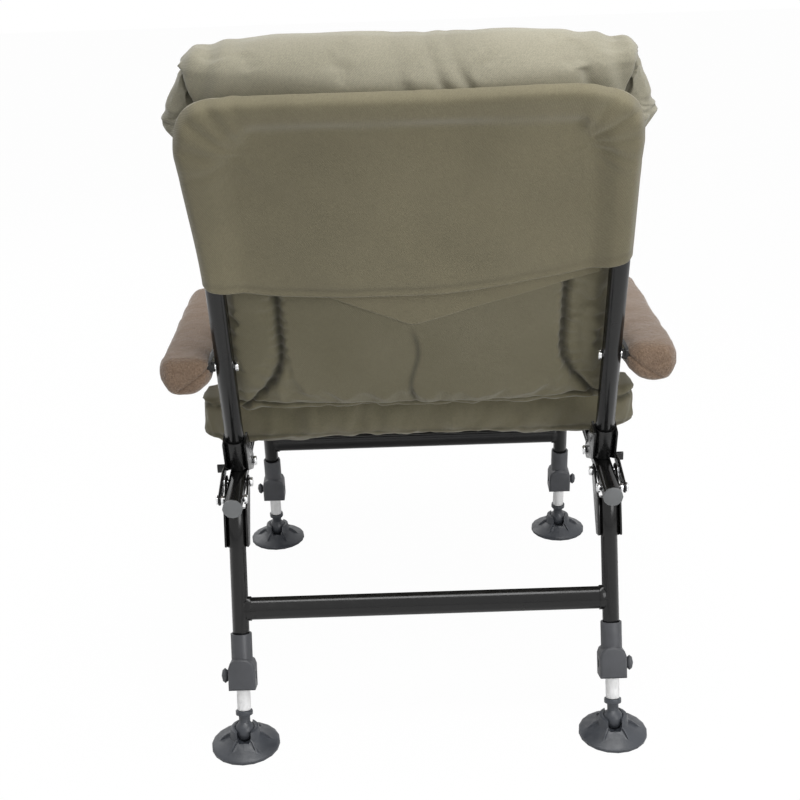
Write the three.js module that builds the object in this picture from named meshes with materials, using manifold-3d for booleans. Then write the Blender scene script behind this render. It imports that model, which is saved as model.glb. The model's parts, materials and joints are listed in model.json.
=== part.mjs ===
// A folding carp fishing armchair: padded seat and back on a steel tube frame, two folding leg frames,
// telescopic legs on swivelling mud feet, lock levers, and padded arms carried by a four-bar linkage.
// Millimetres, +Z up, front of the chair along +Y, floor at Z = 0, origin at the middle of the footprint.
import * as THREE from "three";
import { mergeVertices } from "three/addons/utils/BufferGeometryUtils.js";
import Module from "manifold-3d";

const wasm = await Module();
wasm.setup();

// Clearances and overruns
const fitGap = 0.4; // between pieces that are fixed together
const runGap = 0.5; // round a pin or beside a turning plate
const softGap = 0.5; // between a soft part and what it lies on
const cutOver = 2; // what a cut runs past the face it leaves
const jointLap = 0.6; // what two solids share before they are joined
const weldTolerance = 0.001; // vertices closer than this are one vertex

// Facet counts
const tubeSides = 12;
const pinSides = 8;
const footSides = 20;
const bendSteps = 5;
const arcSteps = 3;
const cushionCells = [20, 18]; // across and along
const pillowCells = [18, 12];
const hemSteps = 10;
const cavitySteps = 5;
const ballSteps = 6;

// Seat frame
const frameWidth = 486; // between the axes of the two side tubes
const frameTubeDiameter = 25;
const tubeWall = 1.6;
const seatRise = THREE.MathUtils.degToRad(3.5);
const rearPivotHeight = 323.2;
const seatTubeOverhang = 69; // behind the rear leg pivot
const frontPivotPastStrut = 43; // front leg pivot ahead of the arm strut's pivot
const seatFrontPastPivot = 69; // front rail ahead of the front leg pivot
const seatBendRadius = 56;
const capThickness = 3;
const capRim = 0.6; // cap wider than the tube, on the radius
const capPlugLength = 14;

// Back frame
const backPivotAlong = 60;
const backLean = THREE.MathUtils.degToRad(15.5);
const backTubeBehind = 36; // back tube axis behind its pivot
const backTubeFoot = 25; // lower end of the back tube above the pivot
const backTubeTop = 530;
const backBendRadius = 55;
const socketFoot = 24;
const socketLength = 45;
const socketWall = 1.5;
const wingEyeRadius = 11;
const plateCorner = 3; // corner radius of the bracket plates

// Pivot bolts and the plates they hold
const pinRadius = 4;
const headRadius = 6.6;
const headHeight = 4.5;
const lowHeadHeight = 3;
const headChamfer = 1.2;
const bracketPlate = 2.5;

// Leg frames
const legTubeDiameter = 22;
const legAxisOffset = 27; // leg axis to its pivot, so that a folded leg lies under the side tube
const rearSplay = THREE.MathUtils.degToRad(18.3);
const frontSplay = THREE.MathUtils.degToRad(5.3);
const ballHeight = 22;
const legEyeRadius = 9.5;
const legSleeveTop = 31; // below the pivot, along the leg
const legSleeveLength = 50;
const legSleeveDiameter = 28;
const legTubeTop = 33;
const legTubeInCollar = 19;
const crossbarAboveCollar = 32;
const crossbarHeight = 30;
const crossbarDepth = 20;
const beadWidth = 4;
const beadRise = 1.4;

// Leg collars and thumb screws
const collarTopAboveBall = 130.2;
const collarSleeveDiameter = 28;
const collarBlockWidth = 35;
const collarBlockDepth = 33;
const collarSleeveLength = 44;
const collarBlockHeight = 29;
const collarShoulderRise = 13;
const collarBevel = 2.5;
const clampWidth = 11; // nut pocket on the inner side of the collar
const clampDepth = 5;
const thumbBelowShoulder = 12;
const thumbRodRadius = 3;
const thumbWingThickness = 10;
const thumbWingHeight = 21;
const thumbWingDepth = 12;

// Inner legs, ball plugs and mud feet
const innerTubeDiameter = 18;
const innerTubeWall = 1.5;
const innerTubeLength = 174;
const innerTubeAboveBall = 28;
const flangeDiameter = 22.6;
const flangeHeight = 6;
const neckDiameter = 15;
const ballDiameter = 28;
const footDiameter = 90;
const footRim = 3.5;
const footRecess = 2;
const footRecessDiameter = 76;
const socketOuterDiameter = 37.4;
const socketTopHeight = 28;
const socketNotchWidth = 18;
const socketNotchHeight = 12; // of its floor above the ground
const ribThickness = 2.6;
const ribReach = 38; // from the middle of the foot
const ribHeight = 20;
const ribCount = 6;

// Lock levers on the outer side of the side tubes
const leverPivotAlong = -46;
const leverX = frameWidth / 2 + 17.6;
const leverThickness = 2.4;
const leverEyeRadius = 8;
const leverHookRadius = 12.5;
const leverHookRise = 4;
const leverTipAlong = 26;
const leverTipRise = 6;
const leverTipRadius = 5;
const leverTabReach = 9;
const leverNotchRadius = 7.6;

// Arms
const armPivotUp = 185.4; // along the back tube, from the level of the back pivot
const armLength = 294; // rear pivot to front pivot
const armBarX = frameWidth / 2 + 16.2; // inner face of the flat arm bar
const armBarThickness = 9;
const armBarWidth = 16;
const linkGap = 0.7; // between the arm bar and its strut
const strutThickness = 9;
const padX = frameWidth / 2 + 17.5; // inner face of the pad
const padWidth = 65;
const padHeight = 44;
const padDrop = 6.5; // middle of the pad below the arm bar
const padRear = 19; // behind the rear pivot
const padFront = 306; // ahead of the rear pivot
const padEndRound = 10;
const strutPocketLength = 108;
const earThickness = 3;

// Soft parts
const cushionFullness = 8; // power of the crown: the higher, the fuller its edges
const pillowFullness = 4;
const deckThickness = 2;
const deckInset = 0.15; // its upper face below the top of the side tubes
const deckRear = backPivotAlong + 38; // clear of the folded back brackets
const seatPadRear = 68; // along the side tube from the rear leg pivot
const seatPadPastRail = 26;
const seatPadThickness = 77;
const seatWingHalf = frameWidth / 2 + 47;
const seatPadHalf = frameWidth / 2 + 13;
const seatWingEnd = 118;
const seatWingFade = 38;
const backPadFoot = 88; // above the back pivot, along the back
const backPadTop = 439.5;
const backPadThickness = 61;
const backPadHalf = frameWidth / 2 + 7;
const headFoot = 440;
const headTop = 576;
const headHalf = frameWidth / 2 + 36;
const headThickness = 110;
const headBow = 6;
const hoodCloth = 1.6;
const hoodHem = 313;
const hoodSag = 34;
const flapTop = 322;
const flapPoint = [-7, 230]; // lowest point of its lopsided V
const flapLeft = [205, 0.452]; // side edge from the chair's middle, and rise of the V towards it
const flapRight = [225, 0.312];
const flapThickness = 1.6;

const paint = (hex, roughness, metalness) =>
  new THREE.MeshStandardMaterial({ color: hex, roughness, metalness });
const blackPaint = () => paint(0x2c2a2c, 0.3, 0.3);
const greyPlastic = () => paint(0x48494d, 0.55, 0);
const brightSteel = () => paint(0xc9cbcd, 0.25, 1);
const whiteTube = () => paint(0xeaeaea, 0.35, 0.1);
const oliveCloth = () => paint(0x6e6856, 0.9, 0);
const paleCloth = () => paint(0xa09a86, 0.85, 0);
const brownFleece = () => paint(0x8c806d, 0.95, 0);

// A closed geometry as a solid that can be joined and cut, whichever way its faces were wound.
function solid(geometry) {
  const bare = new THREE.BufferGeometry();
  bare.setAttribute("position", geometry.getAttribute("position"));
  if (geometry.index) bare.setIndex(geometry.index);
  const merged = mergeVertices(bare, weldTolerance);
  const triVerts = new Uint32Array(merged.index.array);
  const vertProperties = merged.attributes.position.array;
  const made = () => new wasm.Manifold(new wasm.Mesh({ numProp: 3, vertProperties, triVerts }));
  const first = made();
  if (first.volume() > 0) return first;
  for (let i = 0; i < triVerts.length; i += 3)
    [triVerts[i + 1], triVerts[i + 2]] = [triVerts[i + 2], triVerts[i + 1]];
  return made();
}

const join = (first, ...rest) => rest.reduce((all, next) => all.add(next), first);
const cut = (first, ...rest) => rest.reduce((all, next) => all.subtract(next), first);

// A named mesh made of a solid.
function piece(name, body, material) {
  const mesh = body.getMesh();
  const geometry = new THREE.BufferGeometry();
  geometry.setAttribute("position", new THREE.BufferAttribute(new Float32Array(mesh.vertProperties), 3));
  geometry.setIndex(new THREE.BufferAttribute(mesh.triVerts, 1));
  geometry.computeVertexNormals();
  const made = new THREE.Mesh(geometry, material);
  made.name = name;
  return made;
}

// Round bars along X, Y and Z, from one coordinate to another, at the other two coordinates given.
const barAlong = (radius, from, to, sides) =>
  new THREE.CylinderGeometry(radius, radius, Math.abs(to - from), sides).translate(0, (from + to) / 2, 0);
const barX = (radius, x0, x1, y, z, sides = pinSides) =>
  solid(barAlong(radius, -x0, -x1, sides).rotateZ(Math.PI / 2).translate(0, y, z));
const barY = (radius, y0, y1, x, z, sides = tubeSides) =>
  solid(barAlong(radius, y0, y1, sides).translate(x, 0, z));
const barZ = (radius, z0, z1, x, y, sides = tubeSides) =>
  solid(barAlong(radius, z0, z1, sides).rotateX(Math.PI / 2).translate(x, y, 0));

function block(x0, x1, y0, y1, z0, z1) {
  const g = new THREE.BoxGeometry(Math.abs(x1 - x0), Math.abs(y1 - y0), Math.abs(z1 - z0));
  return solid(g.translate((x0 + x1) / 2, (y0 + y1) / 2, (z0 + z1) / 2));
}

// A turned piece on an axis along X, from [distance from the chair's middle, radius] pairs.
function turnedX(s, steps, y, z) {
  const profile = steps.map(([x, r]) => new THREE.Vector2(r, x));
  profile.unshift(new THREE.Vector2(0, steps[0][0]));
  profile.push(new THREE.Vector2(0, steps.at(-1)[0]));
  const g = new THREE.LatheGeometry(profile, pinSides);
  return solid(g.rotateZ((-s * Math.PI) / 2).translate(0, y, z));
}

// A flat plate in the YZ plane between two X faces, from [y, z] pairs.
function plateYZ(outline, x0, x1) {
  const shape = new THREE.Shape(outline.map(([y, z]) => new THREE.Vector2(y, z)));
  const g = new THREE.ExtrudeGeometry(shape, { depth: Math.abs(x1 - x0), bevelEnabled: false });
  g.rotateX(Math.PI / 2).rotateZ(Math.PI / 2);
  return solid(g.translate(Math.min(x0, x1), 0, 0));
}

// The convex outline round several circles [y, z, radius].
function wrapCircles(circles) {
  const all = circles.flatMap(([y, z, r]) =>
    Array.from({ length: pinSides }, (_, i) => {
      const a = (2 * Math.PI * i) / pinSides;
      return [y + r * Math.cos(a), z + r * Math.sin(a)];
    }),
  );
  all.sort((p, q) => p[0] - q[0] || p[1] - q[1]);
  const turn = (o, p, q) => (p[0] - o[0]) * (q[1] - o[1]) - (p[1] - o[1]) * (q[0] - o[0]);
  const half = (points) => {
    const kept = [];
    for (const p of points) {
      while (kept.length > 1 && turn(kept.at(-2), kept.at(-1), p) <= 0) kept.pop();
      kept.push(p);
    }
    kept.pop();
    return kept;
  };
  return [...half(all), ...half([...all].reverse())];
}

// A run of tube with straight stretches and round bends; its stations are only where one of them ends.
class TubeRun extends THREE.Curve {
  constructor(corners, radius) {
    super();
    this.stations = [];
    corners.forEach((corner, i) => {
      const before = corners[i - 1];
      const after = corners[i + 1];
      if (!before || !after) {
        const way = (before ? corner.clone().sub(before) : after.clone().sub(corner)).normalize();
        this.stations.push({ at: corner.clone(), way });
        return;
      }
      const into = corner.clone().sub(before).normalize();
      const out = after.clone().sub(corner).normalize();
      const turn = into.angleTo(out);
      const start = corner.clone().addScaledVector(into, -radius * Math.tan(turn / 2));
      const side = out.clone().addScaledVector(into, -into.dot(out)).normalize();
      const centre = start.clone().addScaledVector(side, radius);
      for (let k = 0; k <= bendSteps; k++) {
        const a = (turn * k) / bendSteps;
        const at = centre.clone().addScaledVector(side, -radius * Math.cos(a));
        at.addScaledVector(into, radius * Math.sin(a));
        const way = into.clone().multiplyScalar(Math.cos(a)).addScaledVector(side, Math.sin(a));
        this.stations.push({ at, way });
      }
    });
    this.steps = this.stations.length - 1;
  }
  getPointAt(u, target = new THREE.Vector3()) {
    return target.copy(this.stations[Math.round(u * this.steps)].at);
  }
  getTangentAt(u, target = new THREE.Vector3()) {
    return target.copy(this.stations[Math.round(u * this.steps)].way);
  }
}

// A round hollow tube along a run.
function bentTube(corners, bendRadius, outer, inner) {
  const run = new TubeRun(corners, bendRadius);
  const ring = (radius) =>
    Array.from({ length: tubeSides }, (_, i) => {
      const a = (2 * Math.PI * i) / tubeSides;
      return new THREE.Vector2(radius * Math.cos(a), radius * Math.sin(a));
    });
  const shape = new THREE.Shape(ring(outer));
  shape.holes.push(new THREE.Path(ring(inner)));
  return solid(new THREE.ExtrudeGeometry(shape, { steps: run.steps, extrudePath: run, bevelEnabled: false }));
}

// A soft closed form: place(u, v, side) gives the point of the outer (side 1) or inner (side -1) face for
// u and v from -1 to 1, and both faces meet at the rim (side 0).
function softForm(across, along, place) {
  const points = [];
  const faces = [];
  const index = new Map();
  const spread = (i, n) => Math.sin((Math.PI / 2) * ((2 * i) / n - 1));
  const vertex = (i, j, side) => {
    const rim = i === 0 || j === 0 || i === across || j === along;
    const key = [i, j, rim ? 0 : side].join();
    if (!index.has(key)) {
      index.set(key, points.length / 3);
      points.push(...place(spread(i, across), spread(j, along), rim ? 0 : side));
    }
    return index.get(key);
  };
  for (let i = 0; i < across; i++)
    for (let j = 0; j < along; j++)
      for (const side of [1, -1]) {
        const a = vertex(i, j, side);
        const b = vertex(i + 1, j, side);
        const c = vertex(i + 1, j + 1, side);
        const d = vertex(i, j + 1, side);
        faces.push(...(side > 0 ? [a, b, c, a, c, d] : [a, c, b, a, d, c]));
      }
  const g = new THREE.BufferGeometry();
  g.setAttribute("position", new THREE.Float32BufferAttribute(points, 3));
  g.setIndex(faces);
  return solid(g);
}

const mix = (a, b, t) => a + (b - a) * t;
const fade = (x, low, high) => THREE.MathUtils.smoothstep(x, low, high);
const crown = (u, v, power) => ((1 - Math.abs(u) ** power) * (1 - Math.abs(v) ** power)) ** 0.5;
const groove = (at, line, width) => Math.exp(-(((at - line) / width) ** 2));

// Frames: the seat's own axes start at the rear leg pivot, with Y along the side tubes.
const onSideTube = (along) => [along * Math.cos(seatRise), rearPivotHeight + along * Math.sin(seatRise)];
const [rearPivotY, rearPivotZ] = onSideTube(0);
const [backPivotY, backPivotZ] = onSideTube(backPivotAlong);
const strutPivotY = backPivotY + armLength;
const strutPivotZ = backPivotZ;
const strutAhead = strutPivotY - rearPivotY;
const strutAbove = strutPivotZ - rearPivotZ;
const strutAlong = strutAhead * Math.cos(seatRise) + strutAbove * Math.sin(seatRise);
const strutUp = strutAbove * Math.cos(seatRise) - strutAhead * Math.sin(seatRise);
const frontPivotAlong = backPivotAlong + armLength + frontPivotPastStrut;
const seatFrontAlong = frontPivotAlong + seatFrontPastPivot;
const [frontPivotY, frontPivotZ] = onSideTube(frontPivotAlong);

const reach = (pivotZ, splay) => (pivotZ - ballHeight + legAxisOffset * Math.sin(splay)) / Math.cos(splay);
const rearReach = reach(rearPivotZ, rearSplay);
const frontReach = reach(frontPivotZ, frontSplay);
const outward = (length, splay) => legAxisOffset * Math.cos(splay) + length * Math.sin(splay);
const rearFootY = rearPivotY - outward(rearReach, rearSplay);
const frontFootY = frontPivotY + outward(frontReach, frontSplay);
const collarTop = rearReach - collarTopAboveBall;
const legTubeEnd = collarTop + legTubeInCollar;
const crossbarDown = collarTop - crossbarAboveCollar;
const collarBlockTop = collarTop + collarSleeveLength;
const collarFoot = collarBlockTop + collarBlockHeight;
const thumbDown = collarBlockTop + thumbBelowShoulder;

const armPivotY = backPivotY - backTubeBehind * Math.cos(backLean) - armPivotUp * Math.sin(backLean);
const armPivotZ = backPivotZ - backTubeBehind * Math.sin(backLean) + armPivotUp * Math.cos(backLean);

function frameAt(y, z, turn) {
  const group = new THREE.Group();
  group.position.set(0, y, z);
  group.rotation.x = turn;
  return group;
}
const chair = new THREE.Group();
const seat = frameAt(rearPivotY, rearPivotZ, seatRise);
const back = frameAt(backPivotY, backPivotZ, backLean);
const arms = frameAt(armPivotY, armPivotZ, 0);
const struts = frameAt(strutPivotY, strutPivotZ, 0);

const halfFrame = frameWidth / 2;
const tubeRadius = frameTubeDiameter / 2;
const boreRadius = tubeRadius - tubeWall;
const plateInner = tubeRadius + runGap; // bracket plates, from the tube's axis
const plateOuter = plateInner + bracketPlate;
const pinHole = pinRadius + runGap;
const mates = [
  ["left", -1],
  ["right", 1],
];

// A bolt: bevelled head inside, steps on the way, bevelled head outside, all as distances from the middle.
function bolt(s, innerFace, outerFace, y, z, outerHeight = headHeight, innerHeight = headHeight, steps = []) {
  const small = headRadius - headChamfer;
  const profile = [
    [innerFace - innerHeight, small],
    [innerFace - innerHeight + headChamfer, headRadius],
    [innerFace, headRadius],
    [innerFace, pinRadius],
    ...steps,
    [outerFace, pinRadius],
    [outerFace, headRadius],
    [outerFace + outerHeight - headChamfer, headRadius],
    [outerFace + outerHeight, small],
  ];
  return turnedX(s, profile, y, z);
}
// A shoulder on a bolt that keeps two pieces apart.
const shoulder = (from, to) => [
  [from, pinRadius],
  [from, headRadius - headChamfer],
  [to, headRadius - headChamfer],
  [to, pinRadius],
];
// A hole for a bolt, right through a tube and the plates beside it.
const pinBore = (s, y, z) =>
  barX(pinHole, s * (halfFrame - frameTubeDiameter), s * (halfFrame + frameTubeDiameter), y, z);

// Seat frame: side tubes and front rail in one bent tube, with an ear each side that carries the arm strut.
const earInner = halfFrame + plateOuter + linkGap;
const earOuter = earInner + earThickness;
const strutInner = armBarX + armBarThickness + linkGap;
const strutOuter = strutInner + strutThickness;

function seatFrame() {
  const corners = [
    new THREE.Vector3(-halfFrame, -seatTubeOverhang, 0),
    new THREE.Vector3(-halfFrame, seatFrontAlong, 0),
    new THREE.Vector3(halfFrame, seatFrontAlong, 0),
    new THREE.Vector3(halfFrame, -seatTubeOverhang, 0),
  ];
  let body = bentTube(corners, seatBendRadius, tubeRadius, boreRadius);
  for (const [, s] of mates) {
    const eye = armBarWidth / 2;
    const tubeRoom = barY(
      boreRadius,
      strutAlong - frameTubeDiameter,
      strutAlong + frameTubeDiameter,
      s * halfFrame,
      0,
    );
    const post = cut(barX(eye, s * halfFrame, s * earOuter, strutAlong, 0), tubeRoom);
    const outline = wrapCircles([
      [strutAlong, 0, eye],
      [strutAlong, strutUp, eye],
    ]);
    const plate = plateYZ(outline, s * earInner, s * earOuter);
    const boss = barX(eye, s * (earOuter - jointLap), s * (strutInner - fitGap), strutAlong, strutUp);
    const strutHole = barX(pinHole, s * halfFrame, s * strutOuter, strutAlong, strutUp);
    body = cut(join(body, post, plate, boss), strutHole);
    for (const along of [leverPivotAlong, 0, backPivotAlong, frontPivotAlong])
      body = cut(body, pinBore(s, along, 0));
  }
  return body;
}
seat.add(piece("seat_frame", seatFrame(), blackPaint()));

// Plastic cap in the open rear end of a side tube.
for (const [side, s] of mates) {
  const end = -seatTubeOverhang - fitGap;
  const disc = barY(tubeRadius + capRim, end - capThickness, end, s * halfFrame, 0);
  const plug = barY(boreRadius - fitGap, end - jointLap, end + capPlugLength, s * halfFrame, 0);
  seat.add(piece("seat_tube_cap_" + side, join(disc, plug), greyPlastic()));
}

// Bolts of the rear legs, the back, the front legs, the lock levers and the arm struts.
for (const [side, s] of mates) {
  const inner = halfFrame - plateOuter - fitGap;
  const outer = halfFrame + plateOuter + fitGap;
  seat.add(piece("rear_leg_bolt_" + side, bolt(s, inner, outer, 0, 0), brightSteel()));
  seat.add(piece("back_pivot_bolt_" + side, bolt(s, inner, outer, backPivotAlong, 0), brightSteel()));
  seat.add(piece("front_leg_bolt_" + side, bolt(s, inner, outer, frontPivotAlong, 0), brightSteel()));

  const leverRoom = shoulder(halfFrame + tubeRadius + fitGap, leverX - fitGap);
  const besideTube = halfFrame - tubeRadius - fitGap;
  const overLever = leverX + leverThickness + fitGap;
  const leverBolt = bolt(s, besideTube, overLever, leverPivotAlong, 0, lowHeadHeight, headHeight, leverRoom);
  seat.add(piece("lever_bolt_" + side, leverBolt, brightSteel()));

  // A stud riveted flush in the ear, so that the folded front leg passes inside it.
  const strutStud = [
    [earInner, pinRadius],
    [strutOuter + fitGap, pinRadius],
    [strutOuter + fitGap, headRadius],
    [strutOuter + fitGap + headHeight - headChamfer, headRadius],
    [strutOuter + fitGap + headHeight, headRadius - headChamfer],
  ];
  seat.add(piece("strut_bolt_" + side, turnedX(s, strutStud, strutAlong, strutUp), brightSteel()));
}

// Lock lever: an eye behind, a hook that drops over the rear leg bolt's head, and a thumb tab in front.
for (const [side, s] of mates) {
  const outline = wrapCircles([
    [leverPivotAlong, 0, leverEyeRadius],
    [0, leverHookRise, leverHookRadius],
    [leverTipAlong, leverTipRise, leverTipRadius],
  ]);
  const plate = plateYZ(outline, s * leverX, s * (leverX + leverThickness));
  const past = [s * (leverX - cutOver), s * (leverX + leverThickness + cutOver)];
  const notch = barX(leverNotchRadius, ...past, 0, 0, tubeSides);
  const mouth = block(...past, -leverNotchRadius, leverNotchRadius, -leverHookRadius - cutOver, 0);
  const eye = barX(pinHole, ...past, leverPivotAlong, 0);
  const tabOutline = wrapCircles([
    [leverTipAlong, leverTipRise - leverTipRadius / 2, leverTipRadius / 2],
    [leverTipAlong, leverTipRise + leverTipRadius, leverTipRadius / 2],
  ]);
  const tab = plateYZ(tabOutline, s * leverX, s * (leverX + leverThickness + leverTabReach));
  seat.add(piece("lock_lever_" + side, join(cut(plate, notch, mouth, eye), tab), blackPaint()));
}

// Woven deck between the side tubes, under the seat cushion.
function seatDeck() {
  const top = tubeRadius - deckInset;
  const edge = Math.sqrt(tubeRadius ** 2 - (top - deckThickness) ** 2) + softGap;
  const half = halfFrame - edge;
  const front = seatFrontAlong - edge;
  const round = seatBendRadius - edge;
  const shape = new THREE.Shape();
  shape.moveTo(-half, deckRear);
  shape.lineTo(half, deckRear);
  shape.absarc(half - round, front - round, round, 0, Math.PI / 2);
  shape.absarc(-half + round, front - round, round, Math.PI / 2, Math.PI);
  const options = { depth: deckThickness, bevelEnabled: false, curveSegments: arcSteps };
  return solid(new THREE.ExtrudeGeometry(shape, options).translate(0, 0, top - deckThickness));
}
seat.add(piece("seat_deck", seatDeck(), oliveCloth()));

// Seat cushion: wide behind, where it fills the corner below the arms, narrower between the arm struts.
const seatRowShares = [-0.36, 0.32];
const rowWidthShare = 0.08;
const seatGrooveShare = 0.3;
const seatSplitShare = 0.42; // height of its side seam
function seatCushion() {
  const lowest = tubeRadius + softGap;
  return softForm(...cushionCells, (u, v, side) => {
    const along = mix(seatPadRear, seatFrontAlong + seatPadPastRail, (v + 1) / 2);
    const half = mix(seatWingHalf, seatPadHalf, fade(along, seatWingEnd, seatWingEnd + seatWingFade));
    const full = crown(u, v, cushionFullness);
    const sewn = seatRowShares.reduce((all, line) => all + groove(v, line, rowWidthShare), 0);
    const middle = lowest + seatPadThickness * seatSplitShare;
    const rise = seatPadThickness * (1 - seatSplitShare) * full * (1 - seatGrooveShare * sewn);
    const drop = seatPadThickness * seatSplitShare * full;
    return [u * half, along, middle + (side > 0 ? rise : 0) - (side < 0 ? drop : 0)];
  });
}
seat.add(piece("seat_cushion", seatCushion(), oliveCloth()));

// Back frame: one tube bent to an upside-down U.
function backFrame() {
  const corners = [
    new THREE.Vector3(-halfFrame, -backTubeBehind, backTubeFoot),
    new THREE.Vector3(-halfFrame, -backTubeBehind, backTubeTop),
    new THREE.Vector3(halfFrame, -backTubeBehind, backTubeTop),
    new THREE.Vector3(halfFrame, -backTubeBehind, backTubeFoot),
  ];
  const holes = mates.map(([, s]) => pinBore(s, -backTubeBehind, armPivotUp));
  return cut(bentTube(corners, backBendRadius, tubeRadius, boreRadius), ...holes);
}
back.add(piece("back_frame", backFrame(), blackPaint()));

// Bracket on the foot of a back tube: a sleeve with two wings that reach forward to the pivot bolt.
for (const [side, s] of mates) {
  const outer = tubeRadius + fitGap + socketWall;
  const at = [s * halfFrame, -backTubeBehind];
  const sleeve = barZ(outer, socketFoot, socketFoot + socketLength, ...at);
  const bore = barZ(tubeRadius + fitGap, socketFoot - cutOver, socketFoot + socketLength + cutOver, ...at);
  const corner = outer - plateCorner;
  const outline = wrapCircles([
    [0, 0, wingEyeRadius],
    [-backTubeBehind - corner, socketFoot + plateCorner, plateCorner],
    [-backTubeBehind + corner, socketFoot + plateCorner, plateCorner],
    [-backTubeBehind - corner, socketFoot + socketLength - plateCorner, plateCorner],
    [-backTubeBehind + corner, socketFoot + socketLength - plateCorner, plateCorner],
  ]);
  const wings = [-1, 1].map((k) =>
    plateYZ(outline, s * halfFrame + k * plateInner, s * halfFrame + k * plateOuter),
  );
  back.add(piece("back_bracket_" + side, cut(join(sleeve, ...wings), bore, pinBore(s, 0, 0)), blackPaint()));
}

// Bolt that carries the rear end of an arm on the back tube.
for (const [side, s] of mates) {
  const inner = halfFrame - tubeRadius - fitGap;
  const outer = armBarX + armBarThickness + fitGap;
  const armBolt = bolt(s, inner, outer, -backTubeBehind, armPivotUp, lowHeadHeight);
  back.add(piece("arm_rear_bolt_" + side, armBolt, brightSteel()));
}

// Back cushion in front of the back tubes, with a bolster sewn off down each side and two cross rows.
const bolsterShare = 0.78;
const bolsterSeamShare = 0.05;
const backRowShares = [-0.3, 0.36];
const backGrooveShare = 0.32;
const backSplitShare = 0.36; // depth of its side seam
const backFace = -backTubeBehind + tubeRadius + hoodCloth + 2 * softGap; // what lies on the hood's front
function backCushion() {
  return softForm(...cushionCells, (u, v, side) => {
    const full = crown(u, v, cushionFullness);
    const seam = groove(Math.abs(u), bolsterShare, bolsterSeamShare);
    const rows = backRowShares.reduce((all, line) => all + groove(v, line, rowWidthShare), 0);
    const middle = backFace + backPadThickness * backSplitShare;
    const sewn = backGrooveShare * Math.min(1, seam + rows);
    const ahead = backPadThickness * (1 - backSplitShare) * full * (1 - sewn);
    const behind = backPadThickness * backSplitShare * full * (1 - backGrooveShare * seam);
    const y = middle + (side > 0 ? ahead : 0) - (side < 0 ? behind : 0);
    return [u * backPadHalf, y, mix(backPadFoot, backPadTop, (v + 1) / 2)];
  });
}
back.add(piece("back_cushion", backCushion(), oliveCloth()));

// Headrest pillow over the back cushion: narrow below, an ear at each end, and drawn in towards the top.
const headSplitShare = 0.45;
const headNeckShare = 0.1; // how much narrower it is below its ears
const headCrownShare = 0.11; // how much narrower it is at the top
const earFootShare = 0.34; // height at which the ears start
const earShare = 0.5; // height at which they are widest
function headrest() {
  return softForm(...pillowCells, (u, v, side) => {
    const full = crown(u, v, pillowFullness);
    const middle = backFace + headThickness * headSplitShare;
    const ahead = headThickness * (1 - headSplitShare) * full;
    const behind = headThickness * headSplitShare * full;
    const y = middle + (side > 0 ? ahead : 0) - (side < 0 ? behind : 0);
    const lift = v > 0 ? headBow * (1 - u * u) * v : 0;
    const up = (v + 1) / 2;
    const neck = headNeckShare * (1 - fade(up, earFootShare, earShare));
    const drawnIn = headCrownShare * fade(up, earShare, 1);
    return [u * headHalf * (1 - neck - drawnIn), y, mix(headFoot, headTop, up) + lift];
  });
}
back.add(piece("headrest_pillow", headrest(), paleCloth()));

// Cloth hood over the top of the back frame, open below, its hem sagging in the middle.
function hood() {
  const room = tubeRadius + softGap;
  const slab = (grow, hem) => {
    const half = halfFrame + room + grow;
    const top = backTubeTop + room + grow;
    const round = backBendRadius + room + grow;
    const shape = new THREE.Shape();
    shape.moveTo(-half, hem(1));
    shape.lineTo(-half, top - round);
    shape.absarc(-half + round, top - round, round, Math.PI, Math.PI / 2, true);
    shape.absarc(half - round, top - round, round, Math.PI / 2, 0, true);
    shape.lineTo(half, hem(1));
    for (let k = 1; k < hemSteps; k++) {
      const share = 1 - (2 * k) / hemSteps;
      shape.lineTo(half * share, hem(share));
    }
    const depth = 2 * (room + grow);
    const g = new THREE.ExtrudeGeometry(shape, { depth, bevelEnabled: false, curveSegments: bendSteps });
    return solid(g.rotateX(Math.PI / 2).translate(0, -backTubeBehind + depth / 2, 0));
  };
  const hem = (share) => hoodHem - hoodSag * (1 - share ** 2);
  return cut(slab(hoodCloth, hem), slab(0, () => hoodHem - hoodSag - cutOver));
}
back.add(piece("hood", hood(), oliveCloth()));

// Pointed cloth flap that hangs inside the hood behind the cushion and shows below the hem.
function hoodFlap() {
  const [middle, foot] = flapPoint;
  const corners = [[-1, ...flapLeft], [1, ...flapRight]].map(([s, reachOut, rise]) => [
    new THREE.Vector2(s * reachOut, flapTop),
    new THREE.Vector2(s * reachOut, foot + rise * Math.abs(s * reachOut - middle)),
  ]);
  const [left, right] = corners;
  const shape = new THREE.Shape([left[0], left[1], new THREE.Vector2(middle, foot), right[1], right[0]]);
  const g = new THREE.ExtrudeGeometry(shape, { depth: flapThickness, bevelEnabled: false });
  return solid(g.rotateX(Math.PI / 2).translate(0, -backTubeBehind + tubeRadius, 0));
}
back.add(piece("hood_flap", hoodFlap(), oliveCloth()));

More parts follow.
